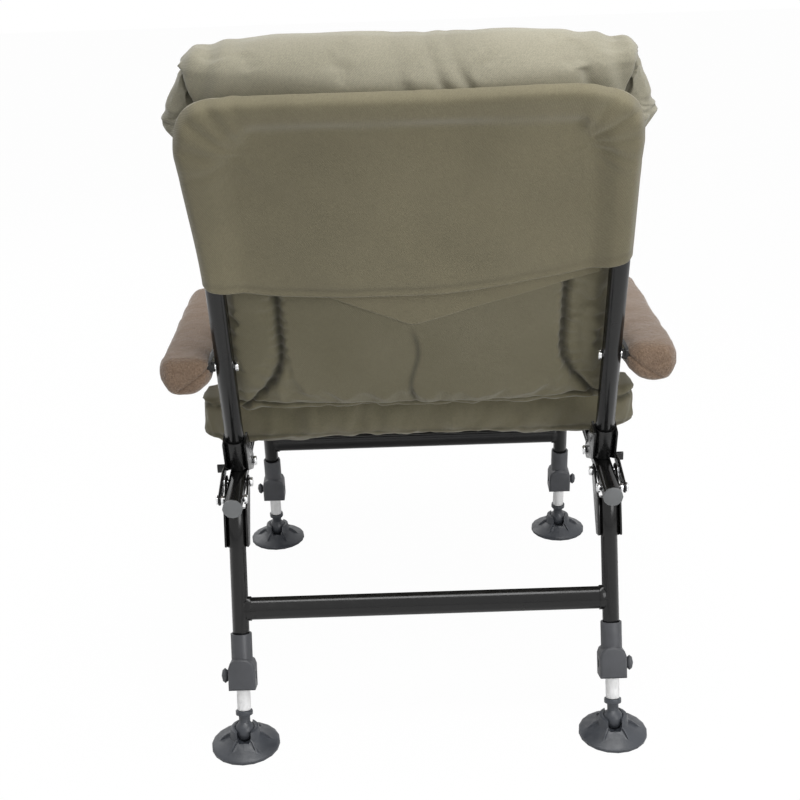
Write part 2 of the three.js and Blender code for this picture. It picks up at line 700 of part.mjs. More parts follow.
// Arm pad: a lofted form with round ends, a channel for the arm bar and a pocket for the strut.
const padCornerPower = 0.5;
const padSectionSteps = 9;
function armPad(s) {
  const half = padWidth / 2;
  const ring = 2 * padSectionSteps;
  const swell = (c) => Math.sign(c) * Math.abs(c) ** padCornerPower;
  const section = (inset) =>
    Array.from({ length: ring }, (_, k) => {
      const a = (2 * Math.PI * k) / ring;
      return [swell(Math.cos(a)) * (half - inset), swell(Math.sin(a)) * (padHeight / 2 - inset)];
    });
  const stations = [
    [-padRear, padEndRound],
    [-padRear + padEndRound / 3, padEndRound / 3],
    [-padRear + padEndRound, 0],
    [padFront - padEndRound, 0],
    [padFront - padEndRound / 3, padEndRound / 3],
    [padFront, padEndRound],
  ];
  const centre = s * (padX + half);
  const points = stations.flatMap(([y, inset]) =>
    section(inset).flatMap(([x, z]) => [x + centre, y, z - padDrop]),
  );
  const faces = [];
  stations.slice(1).forEach((_, r) => {
    for (let k = 0; k < ring; k++) {
      const a = r * ring + k;
      const b = r * ring + ((k + 1) % ring);
      faces.push(a, b, b + ring, a, b + ring, a + ring);
    }
  });
  const last = (stations.length - 1) * ring;
  for (let k = 1; k < ring - 1; k++) faces.push(0, k + 1, k, last, last + k, last + k + 1);
  const g = new THREE.BufferGeometry();
  g.setAttribute("position", new THREE.Float32BufferAttribute(points, 3));
  g.setIndex(faces);

  const low = -padDrop - padHeight / 2 - cutOver;
  const room = armBarWidth / 2 + softGap;
  const inner = s * (padX - cutOver);
  const beside = s * (strutInner - linkGap / 2);
  const channel = block(inner, beside, -padRear - cutOver, padFront + cutOver, -room, room);
  const pocketRear = armLength - strutPocketLength;
  const pocket = block(inner, s * (strutOuter + linkGap), pocketRear, padFront + cutOver, low, room);
  const headRoom = headRadius + 2 * runGap;
  const rearHead = barX(headRoom, s * armBarX, s * (strutInner + lowHeadHeight + runGap), 0, 0);
  const frontHead = barX(headRoom, s * strutInner, s * (strutOuter + headHeight + 2 * runGap), armLength, 0);
  return cut(solid(g), channel, pocket, rearHead, frontHead);
}

for (const [side, s] of mates) {
  // Flat steel bar along the arm, with a boss that stands it off the back tube
  const eye = armBarWidth / 2;
  const barOutline = wrapCircles([
    [0, 0, eye],
    [armLength, 0, eye],
  ]);
  const bar = plateYZ(barOutline, s * armBarX, s * (armBarX + armBarThickness));
  const boss = barX(eye - headChamfer, s * (halfFrame + tubeRadius + fitGap), s * (armBarX + jointLap), 0, 0);
  const past = [s * halfFrame, s * (strutOuter + cutOver)];
  const barHoles = [0, armLength].map((y) => barX(pinHole, ...past, y, 0));
  arms.add(piece("arm_bar_" + side, cut(join(bar, boss), ...barHoles), blackPaint()));
  arms.add(piece("arm_pad_" + side, armPad(s), brownFleece()));

  // Bolt that joins the front of the arm to its strut
  const frontBolt = bolt(s, armBarX - fitGap, strutOuter + fitGap, armLength, 0, headHeight, lowHeadHeight);
  arms.add(piece("arm_front_bolt_" + side, frontBolt, brightSteel()));

  // Strut from the seat frame's ear up to the front of the arm
  const high = [armPivotY + armLength - strutPivotY, armPivotZ - strutPivotZ];
  const strutOutline = wrapCircles([
    [0, 0, eye],
    [...high, eye],
  ]);
  const strutHoles = [[0, 0], high].map(([y, z]) => barX(pinHole, ...past, y, z));
  const strut = plateYZ(strutOutline, s * strutInner, s * strutOuter);
  struts.add(piece("arm_strut_" + side, cut(strut, ...strutHoles), blackPaint()));
}

// Leg frame: two tubes with a crossbar between them, and a forked bracket welded round the top of each tube.
// Its own axes start at its pivot, with Z up along the legs, and toward is the side that the legs stand on.
const legRadius = legTubeDiameter / 2;
const legBoreRadius = innerTubeDiameter / 2 + fitGap;
function legFrame(toward) {
  const y = toward * legAxisOffset;
  const corner = legRadius - plateCorner;
  const low = legSleeveTop + legSleeveLength;
  const outline = wrapCircles([
    [0, 0, legEyeRadius],
    [y - corner, -legSleeveTop - plateCorner, plateCorner],
    [y + corner, -legSleeveTop - plateCorner, plateCorner],
    [y - corner, -low + plateCorner, plateCorner],
    [y + corner, -low + plateCorner, plateCorner],
  ]);
  const oval = (x0, x1, grow) => {
    const g = new THREE.CylinderGeometry(1, 1, Math.abs(x1 - x0), tubeSides).rotateZ(Math.PI / 2);
    g.scale(1, crossbarDepth / 2 + grow, crossbarHeight / 2 + grow);
    return solid(g.translate((x0 + x1) / 2, y, -crossbarDown));
  };
  let body = oval(-halfFrame, halfFrame, 0);
  for (const [, s] of mates) {
    const x = s * halfFrame;
    const tube = barZ(legRadius, -legTubeEnd, -legTubeTop, x, y);
    const sleeve = barZ(legSleeveDiameter / 2, -low, -legSleeveTop, x, y);
    const cheeks = [-1, 1].map((k) => plateYZ(outline, x + k * plateInner, x + k * plateOuter));
    const tubeFace = halfFrame - legRadius;
    const bead = oval(s * (tubeFace - beadWidth), s * (tubeFace + beadWidth / 2), beadRise);
    body = join(body, tube, sleeve, ...cheeks, bead);
  }
  for (const [, s] of mates) {
    const bore = barZ(legBoreRadius, -legTubeEnd - cutOver, -legSleeveTop + cutOver, s * halfFrame, y);
    body = cut(body, bore, pinBore(s, 0, 0));
  }
  return body;
}

// Collar on the foot of a leg tube: a round sleeve over a square clamp block with an arched shoulder.
function legCollar(s, toward) {
  const x = s * halfFrame;
  const y = toward * legAxisOffset;
  const sleeve = barZ(collarSleeveDiameter / 2, -collarFoot + jointLap, -collarTop, x, y);
  const half = collarBlockWidth / 2;
  const shape = new THREE.Shape();
  shape.moveTo(-half, -collarFoot);
  shape.lineTo(half, -collarFoot);
  shape.absellipse(0, -collarBlockTop, half, collarShoulderRise, 0, Math.PI);
  const g = new THREE.ExtrudeGeometry(shape, {
    depth: collarBlockDepth - 2 * collarBevel,
    bevelThickness: collarBevel,
    bevelSize: collarBevel,
    bevelOffset: -collarBevel,
    bevelSegments: 1,
    curveSegments: arcSteps,
  });
  const clamp = solid(g.rotateX(Math.PI / 2).translate(x, y + collarBlockDepth / 2 - collarBevel, 0));
  const tubeBore = barZ(legRadius + fitGap, -legTubeEnd - fitGap, -collarTop + cutOver, x, y);
  const legBore = barZ(legBoreRadius, -collarFoot - cutOver, -collarTop, x, y);
  const out = s * (halfFrame + half + cutOver);
  const screwBore = barX(thumbRodRadius + runGap, s * (halfFrame + legRadius / 2), out, y, -thumbDown);
  const pocket = block(
    s * (halfFrame - half - cutOver),
    s * (halfFrame - half + clampDepth),
    y - clampWidth / 2,
    y + clampWidth / 2,
    -thumbDown - clampWidth / 2,
    -thumbDown + clampWidth / 2,
  );
  return cut(join(sleeve, clamp), tubeBore, legBore, screwBore, pocket);
}

// Thumb screw that clamps the inner leg: a rod in the collar and a flat oval wing outside it.
function thumbScrew(s, toward) {
  const y = toward * legAxisOffset;
  const face = halfFrame + collarBlockWidth / 2 + runGap;
  const tip = halfFrame + innerTubeDiameter / 2 + runGap;
  const middle = s * (face + thumbWingThickness / 2);
  const rod = barX(thumbRodRadius, s * tip, middle, y, -thumbDown);
  const wing = new THREE.SphereGeometry(1, pinSides, pinSides / 2);
  wing.scale(thumbWingThickness / 2, thumbWingDepth / 2, thumbWingHeight / 2);
  return join(rod, solid(wing.translate(middle, y, -thumbDown)));
}

// White inner leg tube, open at both ends.
function innerLeg(length, s, toward) {
  const at = [s * halfFrame, toward * legAxisOffset];
  const foot = -length + innerTubeAboveBall;
  const radius = innerTubeDiameter / 2;
  const bore = barZ(radius - innerTubeWall, foot - cutOver, foot + innerTubeLength + cutOver, ...at);
  return cut(barZ(radius, foot, foot + innerTubeLength, ...at), bore);
}

// Plug in the foot of an inner leg, with its flange, neck and ball, turned as one piece.
function ballPlug(length, s, toward) {
  const top = innerTubeAboveBall - fitGap;
  const radius = ballDiameter / 2;
  const neck = neckDiameter / 2;
  const sweep = Math.PI - Math.asin(neck / radius);
  const profile = [new THREE.Vector2(0, -radius)];
  for (let k = 1; k <= ballSteps; k++) {
    const a = (sweep * k) / ballSteps;
    profile.push(new THREE.Vector2(radius * Math.sin(a), -radius * Math.cos(a)));
  }
  const shaft = innerTubeDiameter / 2 - innerTubeWall - fitGap;
  profile.push(
    new THREE.Vector2(neck, top - flangeHeight),
    new THREE.Vector2(flangeDiameter / 2, top - flangeHeight),
    new THREE.Vector2(flangeDiameter / 2, top),
    new THREE.Vector2(shaft, top),
    new THREE.Vector2(shaft, top + capPlugLength),
    new THREE.Vector2(0, top + capPlugLength),
  );
  const g = new THREE.LatheGeometry(profile, tubeSides);
  return solid(g.rotateX(Math.PI / 2).translate(s * halfFrame, toward * legAxisOffset, -length));
}

// Mud foot: a wide ribbed skirt under a socket that is split by two notches into jaws round the ball.
// Shares of the way out from the socket to the rim, and of the way up from the rim to the socket's top.
const skirtShares = [
  [0.86, 0.1],
  [0.4, 0.26],
  [0.08, 0.5],
];
const ribBowShare = 0.4;
function mudFoot(x, y) {
  const socket = socketOuterDiameter / 2;
  const radius = footDiameter / 2;
  const cavity = ballDiameter / 2 + fitGap;
  const open = Math.acos((socketTopHeight - ballHeight) / cavity);
  const profile = [
    new THREE.Vector2(0, footRecess),
    new THREE.Vector2(footRecessDiameter / 2 - footRecess, footRecess),
    new THREE.Vector2(footRecessDiameter / 2, 0),
    new THREE.Vector2(radius, 0),
    new THREE.Vector2(radius, footRim),
    ...skirtShares.map(
      ([out, up]) => new THREE.Vector2(mix(socket, radius, out), mix(footRim, socketTopHeight, up)),
    ),
    new THREE.Vector2(socket - jointLap, socketTopHeight),
  ];
  for (let k = 0; k < cavitySteps; k++) {
    const a = mix(open, Math.PI, k / cavitySteps);
    profile.push(new THREE.Vector2(cavity * Math.sin(a), ballHeight + cavity * Math.cos(a)));
  }
  profile.push(new THREE.Vector2(0, ballHeight - cavity));
  let body = solid(new THREE.LatheGeometry(profile, footSides).rotateX(Math.PI / 2));

  const rib = new THREE.Shape();
  rib.moveTo(socket - cutOver, footRim);
  rib.lineTo(ribReach, footRim);
  rib.quadraticCurveTo(mix(socket, ribReach, ribBowShare), ribHeight, socket - cutOver, ribHeight);
  const options = { depth: ribThickness, bevelEnabled: false, curveSegments: arcSteps };
  for (let k = 0; k < ribCount; k++) {
    const g = new THREE.ExtrudeGeometry(rib, options).rotateX(Math.PI / 2).translate(0, ribThickness / 2, 0);
    body = body.add(solid(g.rotateZ((2 * Math.PI * k) / ribCount)));
  }

  const half = socketNotchWidth / 2;
  const notchMiddle = socketNotchHeight + half;
  const ends = [-socket - cutOver, socket + cutOver];
  const round = barY(half, ...ends, 0, notchMiddle, pinSides);
  const above = block(-half, half, ...ends, notchMiddle, socketTopHeight + cutOver);
  return cut(body, round, above).translate([x, y, 0]);
}

const legSets = [
  ["rear", frameAt(rearPivotY, rearPivotZ, -rearSplay), rearReach, -1, rearFootY],
  ["front", frameAt(frontPivotY, frontPivotZ, frontSplay), frontReach, 1, frontFootY],
];
for (const [end, group, length, toward, footY] of legSets) {
  group.add(piece(end + "_leg_frame", legFrame(toward), blackPaint()));
  for (const [side, s] of mates) {
    const tag = end + "_" + side;
    group.add(piece("leg_collar_" + tag, legCollar(s, toward), greyPlastic()));
    group.add(piece("thumb_screw_" + tag, thumbScrew(s, toward), greyPlastic()));
    group.add(piece("inner_leg_" + tag, innerLeg(length, s, toward), whiteTube()));
    group.add(piece("ball_plug_" + tag, ballPlug(length, s, toward), greyPlastic()));
    chair.add(piece("mud_foot_" + tag, mudFoot(s * halfFrame, footY), greyPlastic()));
  }
  chair.add(group);
}

chair.add(seat, back, arms, struts);
chair.position.y = -(rearFootY + frontFootY) / 2;
const part = new THREE.Group();
part.add(chair);

export default part;
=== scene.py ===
# %% [markdown]
# # A padded fishing chair, seen from behind
# The chair is a folding steel frame with a quilted seat and back, a cloth hood over the top of the back
# frame, a headrest pillow, fleece arm pads and four telescopic legs on ball-jointed mud feet. The frame is
# already modelled to size, so this lesson loads it, gives the hard parts soft edges and real finishes, and
# then makes the soft parts one by one.

# %% Load the chair's frame
import bpy
import bmesh
import json
import math
from mathutils import Vector, Matrix, noise


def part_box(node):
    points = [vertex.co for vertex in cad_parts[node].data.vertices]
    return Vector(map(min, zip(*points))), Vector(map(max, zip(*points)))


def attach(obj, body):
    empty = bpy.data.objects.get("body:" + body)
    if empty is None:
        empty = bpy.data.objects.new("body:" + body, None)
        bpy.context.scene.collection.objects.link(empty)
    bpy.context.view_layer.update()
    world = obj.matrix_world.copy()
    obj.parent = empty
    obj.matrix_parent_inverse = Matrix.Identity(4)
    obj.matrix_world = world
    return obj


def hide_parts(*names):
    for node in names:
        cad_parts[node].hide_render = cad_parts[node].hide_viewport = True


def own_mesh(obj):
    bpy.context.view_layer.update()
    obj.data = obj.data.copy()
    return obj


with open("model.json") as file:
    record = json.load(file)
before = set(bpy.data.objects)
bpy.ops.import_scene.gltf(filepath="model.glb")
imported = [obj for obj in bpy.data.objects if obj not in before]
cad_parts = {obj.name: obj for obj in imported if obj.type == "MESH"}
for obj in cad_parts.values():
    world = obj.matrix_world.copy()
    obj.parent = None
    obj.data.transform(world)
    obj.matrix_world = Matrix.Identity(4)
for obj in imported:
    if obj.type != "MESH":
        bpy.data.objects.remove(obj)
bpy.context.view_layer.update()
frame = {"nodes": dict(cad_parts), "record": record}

nodes = frame["nodes"]

# %% [markdown]
# ## Camera
# The photograph looks down on the chair's back from about a metre and a half away. A long lens keeps the
# legs nearly parallel. The height of the front feet over the rear ones in the picture gives the camera's
# tilt.

# %% Camera at the photograph's viewing angle
camera_data = bpy.data.cameras.new("photo_camera")
camera_data.lens = 58.5
camera_data.sensor_width = 36
camera = bpy.data.objects.new("photo_camera", camera_data)
bpy.context.scene.collection.objects.link(camera)
camera.location = (-0.028, -1.7228, 1.060)
tilt_down = math.radians(21.9)
yaw = math.radians(-0.12)
roll = math.radians(-1.8)
aim = Matrix.Rotation(yaw, 4, "Z") @ Matrix.Rotation(math.pi / 2 - tilt_down, 4, "X")
camera.rotation_euler = (aim @ Matrix.Rotation(roll, 4, "Z")).to_euler()
bpy.context.scene.camera = camera
print("camera:", camera_data.lens, "mm, looking down", round(math.degrees(tilt_down), 1), "degrees")

# %% [markdown]
# ## Floor, world and lamps
# The picture has a white background. So the world shows white to the camera and to reflections, and the
# floor to the camera, while the light that they throw on the chair stays soft. A wide lamp overhead makes
# the pale bands on top of the pillow and the hood, a second one behind the camera and to its right opens
# up the shadows, and a third lights the front of the chair.

# %% Studio
room_light = 0.36  # what the white world gives the chair; the camera and reflections see it at full strength
floor_glow_share = 0.975


def world_light():
    world = bpy.data.worlds.new("studio")
    bpy.context.scene.world = world
    world.use_nodes = True
    tree = world.node_tree
    background = tree.nodes["Background"]
    path = tree.nodes.new("ShaderNodeLightPath")
    seen = tree.nodes.new("ShaderNodeMath")
    seen.operation = "MAXIMUM"
    tree.links.new(path.outputs["Is Camera Ray"], seen.inputs[0])
    clear = tree.nodes.new("ShaderNodeMath")
    clear.operation = "MAXIMUM"
    tree.links.new(path.outputs["Is Glossy Ray"], clear.inputs[0])
    tree.links.new(path.outputs["Is Transmission Ray"], clear.inputs[1])
    tree.links.new(clear.outputs[0], seen.inputs[1])
    level = tree.nodes.new("ShaderNodeMapRange")
    level.inputs["To Min"].default_value = room_light
    level.inputs["To Max"].default_value = 1.0
    tree.links.new(seen.outputs[0], level.inputs["Value"])
    tree.links.new(level.outputs["Result"], background.inputs["Strength"])
    background.inputs["Color"].default_value = (1, 1, 1, 1)


def soft_lamp(name, place, target, size, watts):
    lamp_data = bpy.data.lights.new(name, "AREA")
    lamp_data.shape = "RECTANGLE"
    lamp_data.size, lamp_data.size_y = size
    lamp_data.energy = watts
    lamp = bpy.data.objects.new(name, lamp_data)
    bpy.context.scene.collection.objects.link(lamp)
    lamp.location = place
    lamp.rotation_euler = (Vector(target) - Vector(place)).to_track_quat("-Z", "Y").to_euler()


world_light()
soft_lamp("top_lamp", place=(0.2, -0.5, 2.5), target=(0, -0.1, 0.6), size=(1.6, 1.2), watts=46)
soft_lamp("back_lamp", place=(1.7, -2.1, 1.5), target=(0, 0, 0.5), size=(1.4, 1.4), watts=32)
soft_lamp("front_lamp", place=(-1.4, 2.0, 1.6), target=(0, 0, 0.5), size=(1.5, 1.5), watts=16)
bpy.context.scene.view_settings.view_transform = "Standard"

bpy.ops.mesh.primitive_plane_add(size=14, location=(0, 2.0, 0))
floor = bpy.context.object
floor.name = "studio_floor"
floor_finish = bpy.data.materials.new("floor_white")
floor_finish.use_nodes = True
floor_tree = floor_finish.node_tree
floor_shader = floor_tree.nodes["Principled BSDF"]
floor_shader.inputs["Base Color"].default_value = (0.9, 0.9, 0.9, 1)
floor_shader.inputs["Roughness"].default_value = 0.9
floor_glow = floor_tree.nodes.new("ShaderNodeEmission")
floor_mix = floor_tree.nodes.new("ShaderNodeMixShader")
floor_path = floor_tree.nodes.new("ShaderNodeLightPath")
floor_share = floor_tree.nodes.new("ShaderNodeMath")
floor_share.operation = "MULTIPLY"
floor_share.inputs[1].default_value = floor_glow_share
floor_tree.links.new(floor_path.outputs["Is Camera Ray"], floor_share.inputs[0])
floor_tree.links.new(floor_share.outputs[0], floor_mix.inputs["Fac"])
floor_tree.links.new(floor_shader.outputs[0], floor_mix.inputs[1])
floor_tree.links.new(floor_glow.outputs[0], floor_mix.inputs[2])
floor_tree.links.new(floor_mix.outputs[0], floor_tree.nodes["Material Output"].inputs["Surface"])
floor.data.materials.append(floor_finish)
print("studio: floor, world and", len(bpy.data.lights), "lamps")

# %% [markdown]
# ## A small kit for finishes
# Every finish is built from nodes on Object coordinates, so a pattern has its real size on every piece and
# stays where it is from all sides. A height pattern goes through a Bump node, and a mottled one varies the
# colour and the roughness, because no real surface is quite even.

# %% Finish helpers
def node(tree, kind, settings=None, **values):
    made = tree.nodes.new(kind)
    for key, value in (settings or {}).items():
        setattr(made, key, value)
    for key, value in values.items():
        made.inputs[key.replace("_", " ")].default_value = value
    return made


def new_finish(name, colour, roughness, metallic=0.0):
    finish = bpy.data.materials.new(name)
    finish.use_nodes = True
    tree = finish.node_tree
    shader = tree.nodes["Principled BSDF"]
    shader.inputs["Base Color"].default_value = (*colour, 1)
    shader.inputs["Roughness"].default_value = roughness
    shader.inputs["Metallic"].default_value = metallic
    finish.diffuse_color = (*colour, 1)
    place = tree.nodes.new("ShaderNodeTexCoord")
    return finish, tree, shader, place.outputs["Object"]


def vary(tree, place, scale, low, high, target=None, detail=3.0):
    grain = node(tree, "ShaderNodeTexNoise", Scale=scale, Detail=detail)
    tree.links.new(place, grain.inputs["Vector"])
    spread = tree.nodes.new("ShaderNodeValToRGB")
    spread.color_ramp.elements[0].position = 0.3
    spread.color_ramp.elements[1].position = 0.7
    spread.color_ramp.elements[0].color = (*low, 1)
    spread.color_ramp.elements[1].color = (*high, 1)
    tree.links.new(grain.outputs["Fac"], spread.inputs["Fac"])
    if target is not None:
        tree.links.new(spread.outputs["Color"], target)
    return spread.outputs["Color"]


def rough_noise(tree, place, scale, low, high, shader):
    grain = node(tree, "ShaderNodeTexNoise", Scale=scale, Detail=4.0)
    tree.links.new(place, grain.inputs["Vector"])
    spread = node(tree, "ShaderNodeMapRange", From_Min=0.3, From_Max=0.7, To_Min=low, To_Max=high)
    tree.links.new(grain.outputs["Fac"], spread.inputs["Value"])
    tree.links.new(spread.outputs["Result"], shader.inputs["Roughness"])


def raise_up(tree, height, shader, strength, distance):
    bump = node(tree, "ShaderNodeBump", Strength=strength, Distance=distance)
    tree.links.new(height, bump.inputs["Height"])
    tree.links.new(bump.outputs["Normal"], shader.inputs["Normal"])


# %% [markdown]
# ## Hard finishes
# The tubes are gloss black powder coat with a faint orange peel. The plates have the same coat, a little
# duller. The bolts are bright plated steel, the collars, screws and feet are moulded nylon with a fine
# grain, and the inner legs are white coated tube with rub marks along their length.

# %% Hard finishes
def powder_coat(name, level, low, high):
    finish, tree, shader, place = new_finish(name, (level, level, level * 1.06), low)
    vary(tree, place, 9, (level * 0.8,) * 3, (level * 1.25,) * 3, shader.inputs["Base Color"])
    rough_noise(tree, place, 60, low, high, shader)
    peel = node(tree, "ShaderNodeTexNoise", Scale=420, Detail=2.0)
    tree.links.new(place, peel.inputs["Vector"])
    raise_up(tree, peel.outputs["Fac"], shader, strength=0.12, distance=0.0004)
    shader.inputs["Specular IOR Level"].default_value = 0.3
    shader.inputs["Coat Weight"].default_value = 0.12
    shader.inputs["Coat Roughness"].default_value = 0.1
    return finish


def moulded(name, colour, grain_size, low, high, depth):
    finish, tree, shader, place = new_finish(name, colour, low)
    darker = tuple(c * 0.85 for c in colour)
    paler = tuple(min(1, c * 1.18) for c in colour)
    vary(tree, place, 30, darker, paler, shader.inputs["Base Color"])
    rough_noise(tree, place, 90, low, high, shader)
    grain = node(tree, "ShaderNodeTexVoronoi", Scale=grain_size)
    tree.links.new(place, grain.inputs["Vector"])
    raise_up(tree, grain.outputs["Distance"], shader, strength=depth, distance=0.0003)
    return finish


def bright_steel(name):
    finish, tree, shader, place = new_finish(name, (0.86, 0.87, 0.88), roughness=0.14, metallic=1.0)
    vary(tree, place, 150, (0.78, 0.79, 0.8), (0.92, 0.92, 0.93), shader.inputs["Base Color"])
    rough_noise(tree, place, scale=300, low=0.08, high=0.2, shader=shader)
    return finish


def white_coat(name):
    finish, tree, shader, place = new_finish(name, (0.8, 0.8, 0.8), roughness=0.32)
    stretch = node(tree, "ShaderNodeMapping", Scale=(1, 1, 0.05))
    tree.links.new(place, stretch.inputs["Vector"])
    rubbed, clean = (0.7, 0.7, 0.7), (0.84, 0.84, 0.84)
    vary(tree, stretch.outputs["Vector"], 240, rubbed, clean, shader.inputs["Base Color"])
    rough_noise(tree, place, scale=70, low=0.25, high=0.42, shader=shader)
    return finish


finish_of = {
    "black_tube": powder_coat("gloss_black_coat", level=0.005, low=0.16, high=0.28),
    "black_bracket": powder_coat("satin_black_coat", level=0.007, low=0.2, high=0.34),
    "bright_bolt": bright_steel("plated_steel"),
    "grey_cap": moulded("cap_nylon", (0.13, 0.135, 0.138),
                        grain_size=900, low=0.42, high=0.58, depth=0.12),
    "grey_collar": moulded("collar_nylon", (0.05, 0.052, 0.058),
                           grain_size=800, low=0.4, high=0.55, depth=0.18),
    "white_tube": white_coat("white_tube_coat"),
    "foot_plastic": moulded("foot_nylon", (0.038, 0.042, 0.05),
                            grain_size=700, low=0.34, high=0.5, depth=0.18),
}
print("hard finishes:", len(finish_of))

# %% [markdown]
# ## Hard pieces with soft edges
# A machined or welded edge is never razor sharp, and the thin highlight along it tells the eye what the
# part is made of. Each hard solid is copied, its loose triangles are merged, a small Bevel rounds the
# edges that turn sharply, and the facets of round tubes are shaded smooth. The copy stands exactly where
# the solid is.

# %% Dress the hard pieces
def deselect():
    bpy.ops.object.select_all(action="DESELECT")


def make_active(piece):
    deselect()
    piece.hide_set(False)
    piece.select_set(True)
    bpy.context.view_layer.objects.active = piece


def copy_of(node_name, name):
    mesh = nodes[node_name].data.copy()
    piece = bpy.data.objects.new(name, mesh)
    bpy.context.scene.collection.objects.link(piece)
    mesh.materials.clear()
    make_active(piece)
    bpy.ops.object.mode_set(mode="EDIT")
    bpy.ops.mesh.select_all(action="SELECT")
    bpy.ops.mesh.remove_doubles(threshold=0.00001)
    bpy.ops.mesh.dissolve_limited(angle_limit=math.radians(0.5))
    bpy.ops.object.mode_set(mode="OBJECT")
    return piece


def apply_modifier(piece, modifier):
    make_active(piece)
    bpy.ops.object.modifier_apply(modifier=modifier.name)


bodies = frame["record"]["behaviour"]["bodies"]
body_of_node = {member: body for body, members in bodies.items() for member in members}
slot_of_node = {entry["node"]: entry["material_slot"] for entry in frame["record"]["subparts"]}


edge_round = 0.0005
sharp_edge, smooth_facet = math.radians(38), math.radians(37)


def dress(node_name):
    piece = copy_of(node_name, node_name + "_finished")
    rounding = piece.modifiers.new("edge", "BEVEL")
    rounding.width = edge_round
    rounding.segments = 2
    rounding.limit_method = "ANGLE"
    rounding.angle_limit = sharp_edge
    rounding.use_clamp_overlap = True
    apply_modifier(piece, rounding)
    make_active(piece)
    bpy.ops.object.shade_smooth_by_angle(angle=smooth_facet)
    piece.data.materials.append(finish_of[slot_of_node[node_name]])
    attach(piece, body_of_node[node_name])
    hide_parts(node_name)
    return piece


hard_pieces = [dress(name) for name in sorted(nodes) if slot_of_node[name] in finish_of]
print("hard pieces dressed:", len(hard_pieces))

# %% [markdown]
# ## Cloth finishes
# The hood is a coarse coated polyester whose twill shows as fine slanted lines. The cushions are the same
# cloth, brushed, and the pillow is paler because it faces the light. An attribute, 1 in a seam or crease
# and 0 away from it, darkens the seams and creases with painted shade. The arm pads are brown fleece, so
# their bump is a pile and not a weave.

# %% Cloth finishes
wave_turn = 0.314  # a Wave texture of this scale repeats once in a metre


def woven(name, dark, pale, period, depth, sheen):
    finish, tree, shader, place = new_finish(name, pale, roughness=0.85)
    mottled = vary(tree, place, 6, dark, pale, detail=4.0)
    height = None
    for direction in ("DIAGONAL", "X"):
        thread = node(tree, "ShaderNodeTexWave", {"wave_type": "BANDS", "bands_direction": direction},
                      Scale=wave_turn / period, Distortion=0.6, Detail=1.0, Detail_Scale=2.0)
        tree.links.new(place, thread.inputs["Vector"])
        if height is None:
            height = thread.outputs["Fac"]
        else:
            both = tree.nodes.new("ShaderNodeMath")
            both.operation = "MULTIPLY_ADD"
            both.inputs[1].default_value = 0.6
            tree.links.new(thread.outputs["Fac"], both.inputs[0])
            tree.links.new(height, both.inputs[2])
            height = both.outputs[0]
    shade = node(tree, "ShaderNodeMix", {"data_type": "RGBA", "blend_type": "MULTIPLY"})
    tree.links.new(mottled, shade.inputs[6])
    tone = tree.nodes.new("ShaderNodeValToRGB")
    tone.color_ramp.elements[0].color = (0.92, 0.92, 0.92, 1)
    tone.color_ramp.elements[1].color = (1.04, 1.04, 1.04, 1)
    tree.links.new(height, tone.inputs["Fac"])
    tree.links.new(tone.outputs["Color"], shade.inputs[7])
    shade.inputs[0].default_value = 1.0
    # Painted shade: seams and creases are darkened towards a dark tone of the cloth.
    seam = node(tree, "ShaderNodeAttribute", {"attribute_name": "painted_seam_and_crease_shade"})
    darker = node(tree, "ShaderNodeMix", {"data_type": "RGBA", "blend_type": "MIX"})
    tree.links.new(shade.outputs[2], darker.inputs[6])
    darker.inputs[7].default_value = (*(c * 0.22 for c in dark), 1)
    soften = node(tree, "ShaderNodeMath", {"operation": "MULTIPLY"})
    soften.inputs[1].default_value = 0.85
    tree.links.new(seam.outputs["Fac"], soften.inputs[0])
    tree.links.new(soften.outputs[0], darker.inputs[0])
    yarn = vary(tree, place, 700, (0.86, 0.86, 0.86), (1.12, 1.12, 1.12), detail=1.0)
    uneven_yarn = node(tree, "ShaderNodeMix", {"data_type": "RGBA", "blend_type": "MULTIPLY"})
    uneven_yarn.inputs[0].default_value = 1.0
    tree.links.new(darker.outputs[2], uneven_yarn.inputs[6])
    tree.links.new(yarn, uneven_yarn.inputs[7])
    tree.links.new(uneven_yarn.outputs[2], shader.inputs["Base Color"])
    crumple = node(tree, "ShaderNodeTexNoise", Scale=38.0, Detail=3.0)
    tree.links.new(place, crumple.inputs["Vector"])
    total = node(tree, "ShaderNodeMath", {"operation": "MULTIPLY_ADD"})
    total.inputs[1].default_value = 2.2
    tree.links.new(crumple.outputs["Fac"], total.inputs[0])
    tree.links.new(height, total.inputs[2])
    raise_up(tree, total.outputs[0], shader, strength=0.5, distance=depth)
    shader.inputs["Sheen Weight"].default_value = sheen
    shader.inputs["Sheen Roughness"].default_value = 0.5
    return finish


def fleece(name):
    finish, tree, shader, place = new_finish(name, (0.170, 0.112, 0.072), roughness=0.95)
    vary(tree, place, 420, (0.125, 0.080, 0.050), (0.225, 0.155, 0.105), shader.inputs["Base Color"], 4.0)
    pile = node(tree, "ShaderNodeTexNoise", Scale=520.0, Detail=5.0)
    tree.links.new(place, pile.inputs["Vector"])
    raise_up(tree, pile.outputs["Fac"], shader, strength=0.9, distance=0.0022)
    shader.inputs["Sheen Weight"].default_value = 0.45
    shader.inputs["Sheen Roughness"].default_value = 0.4
    return finish


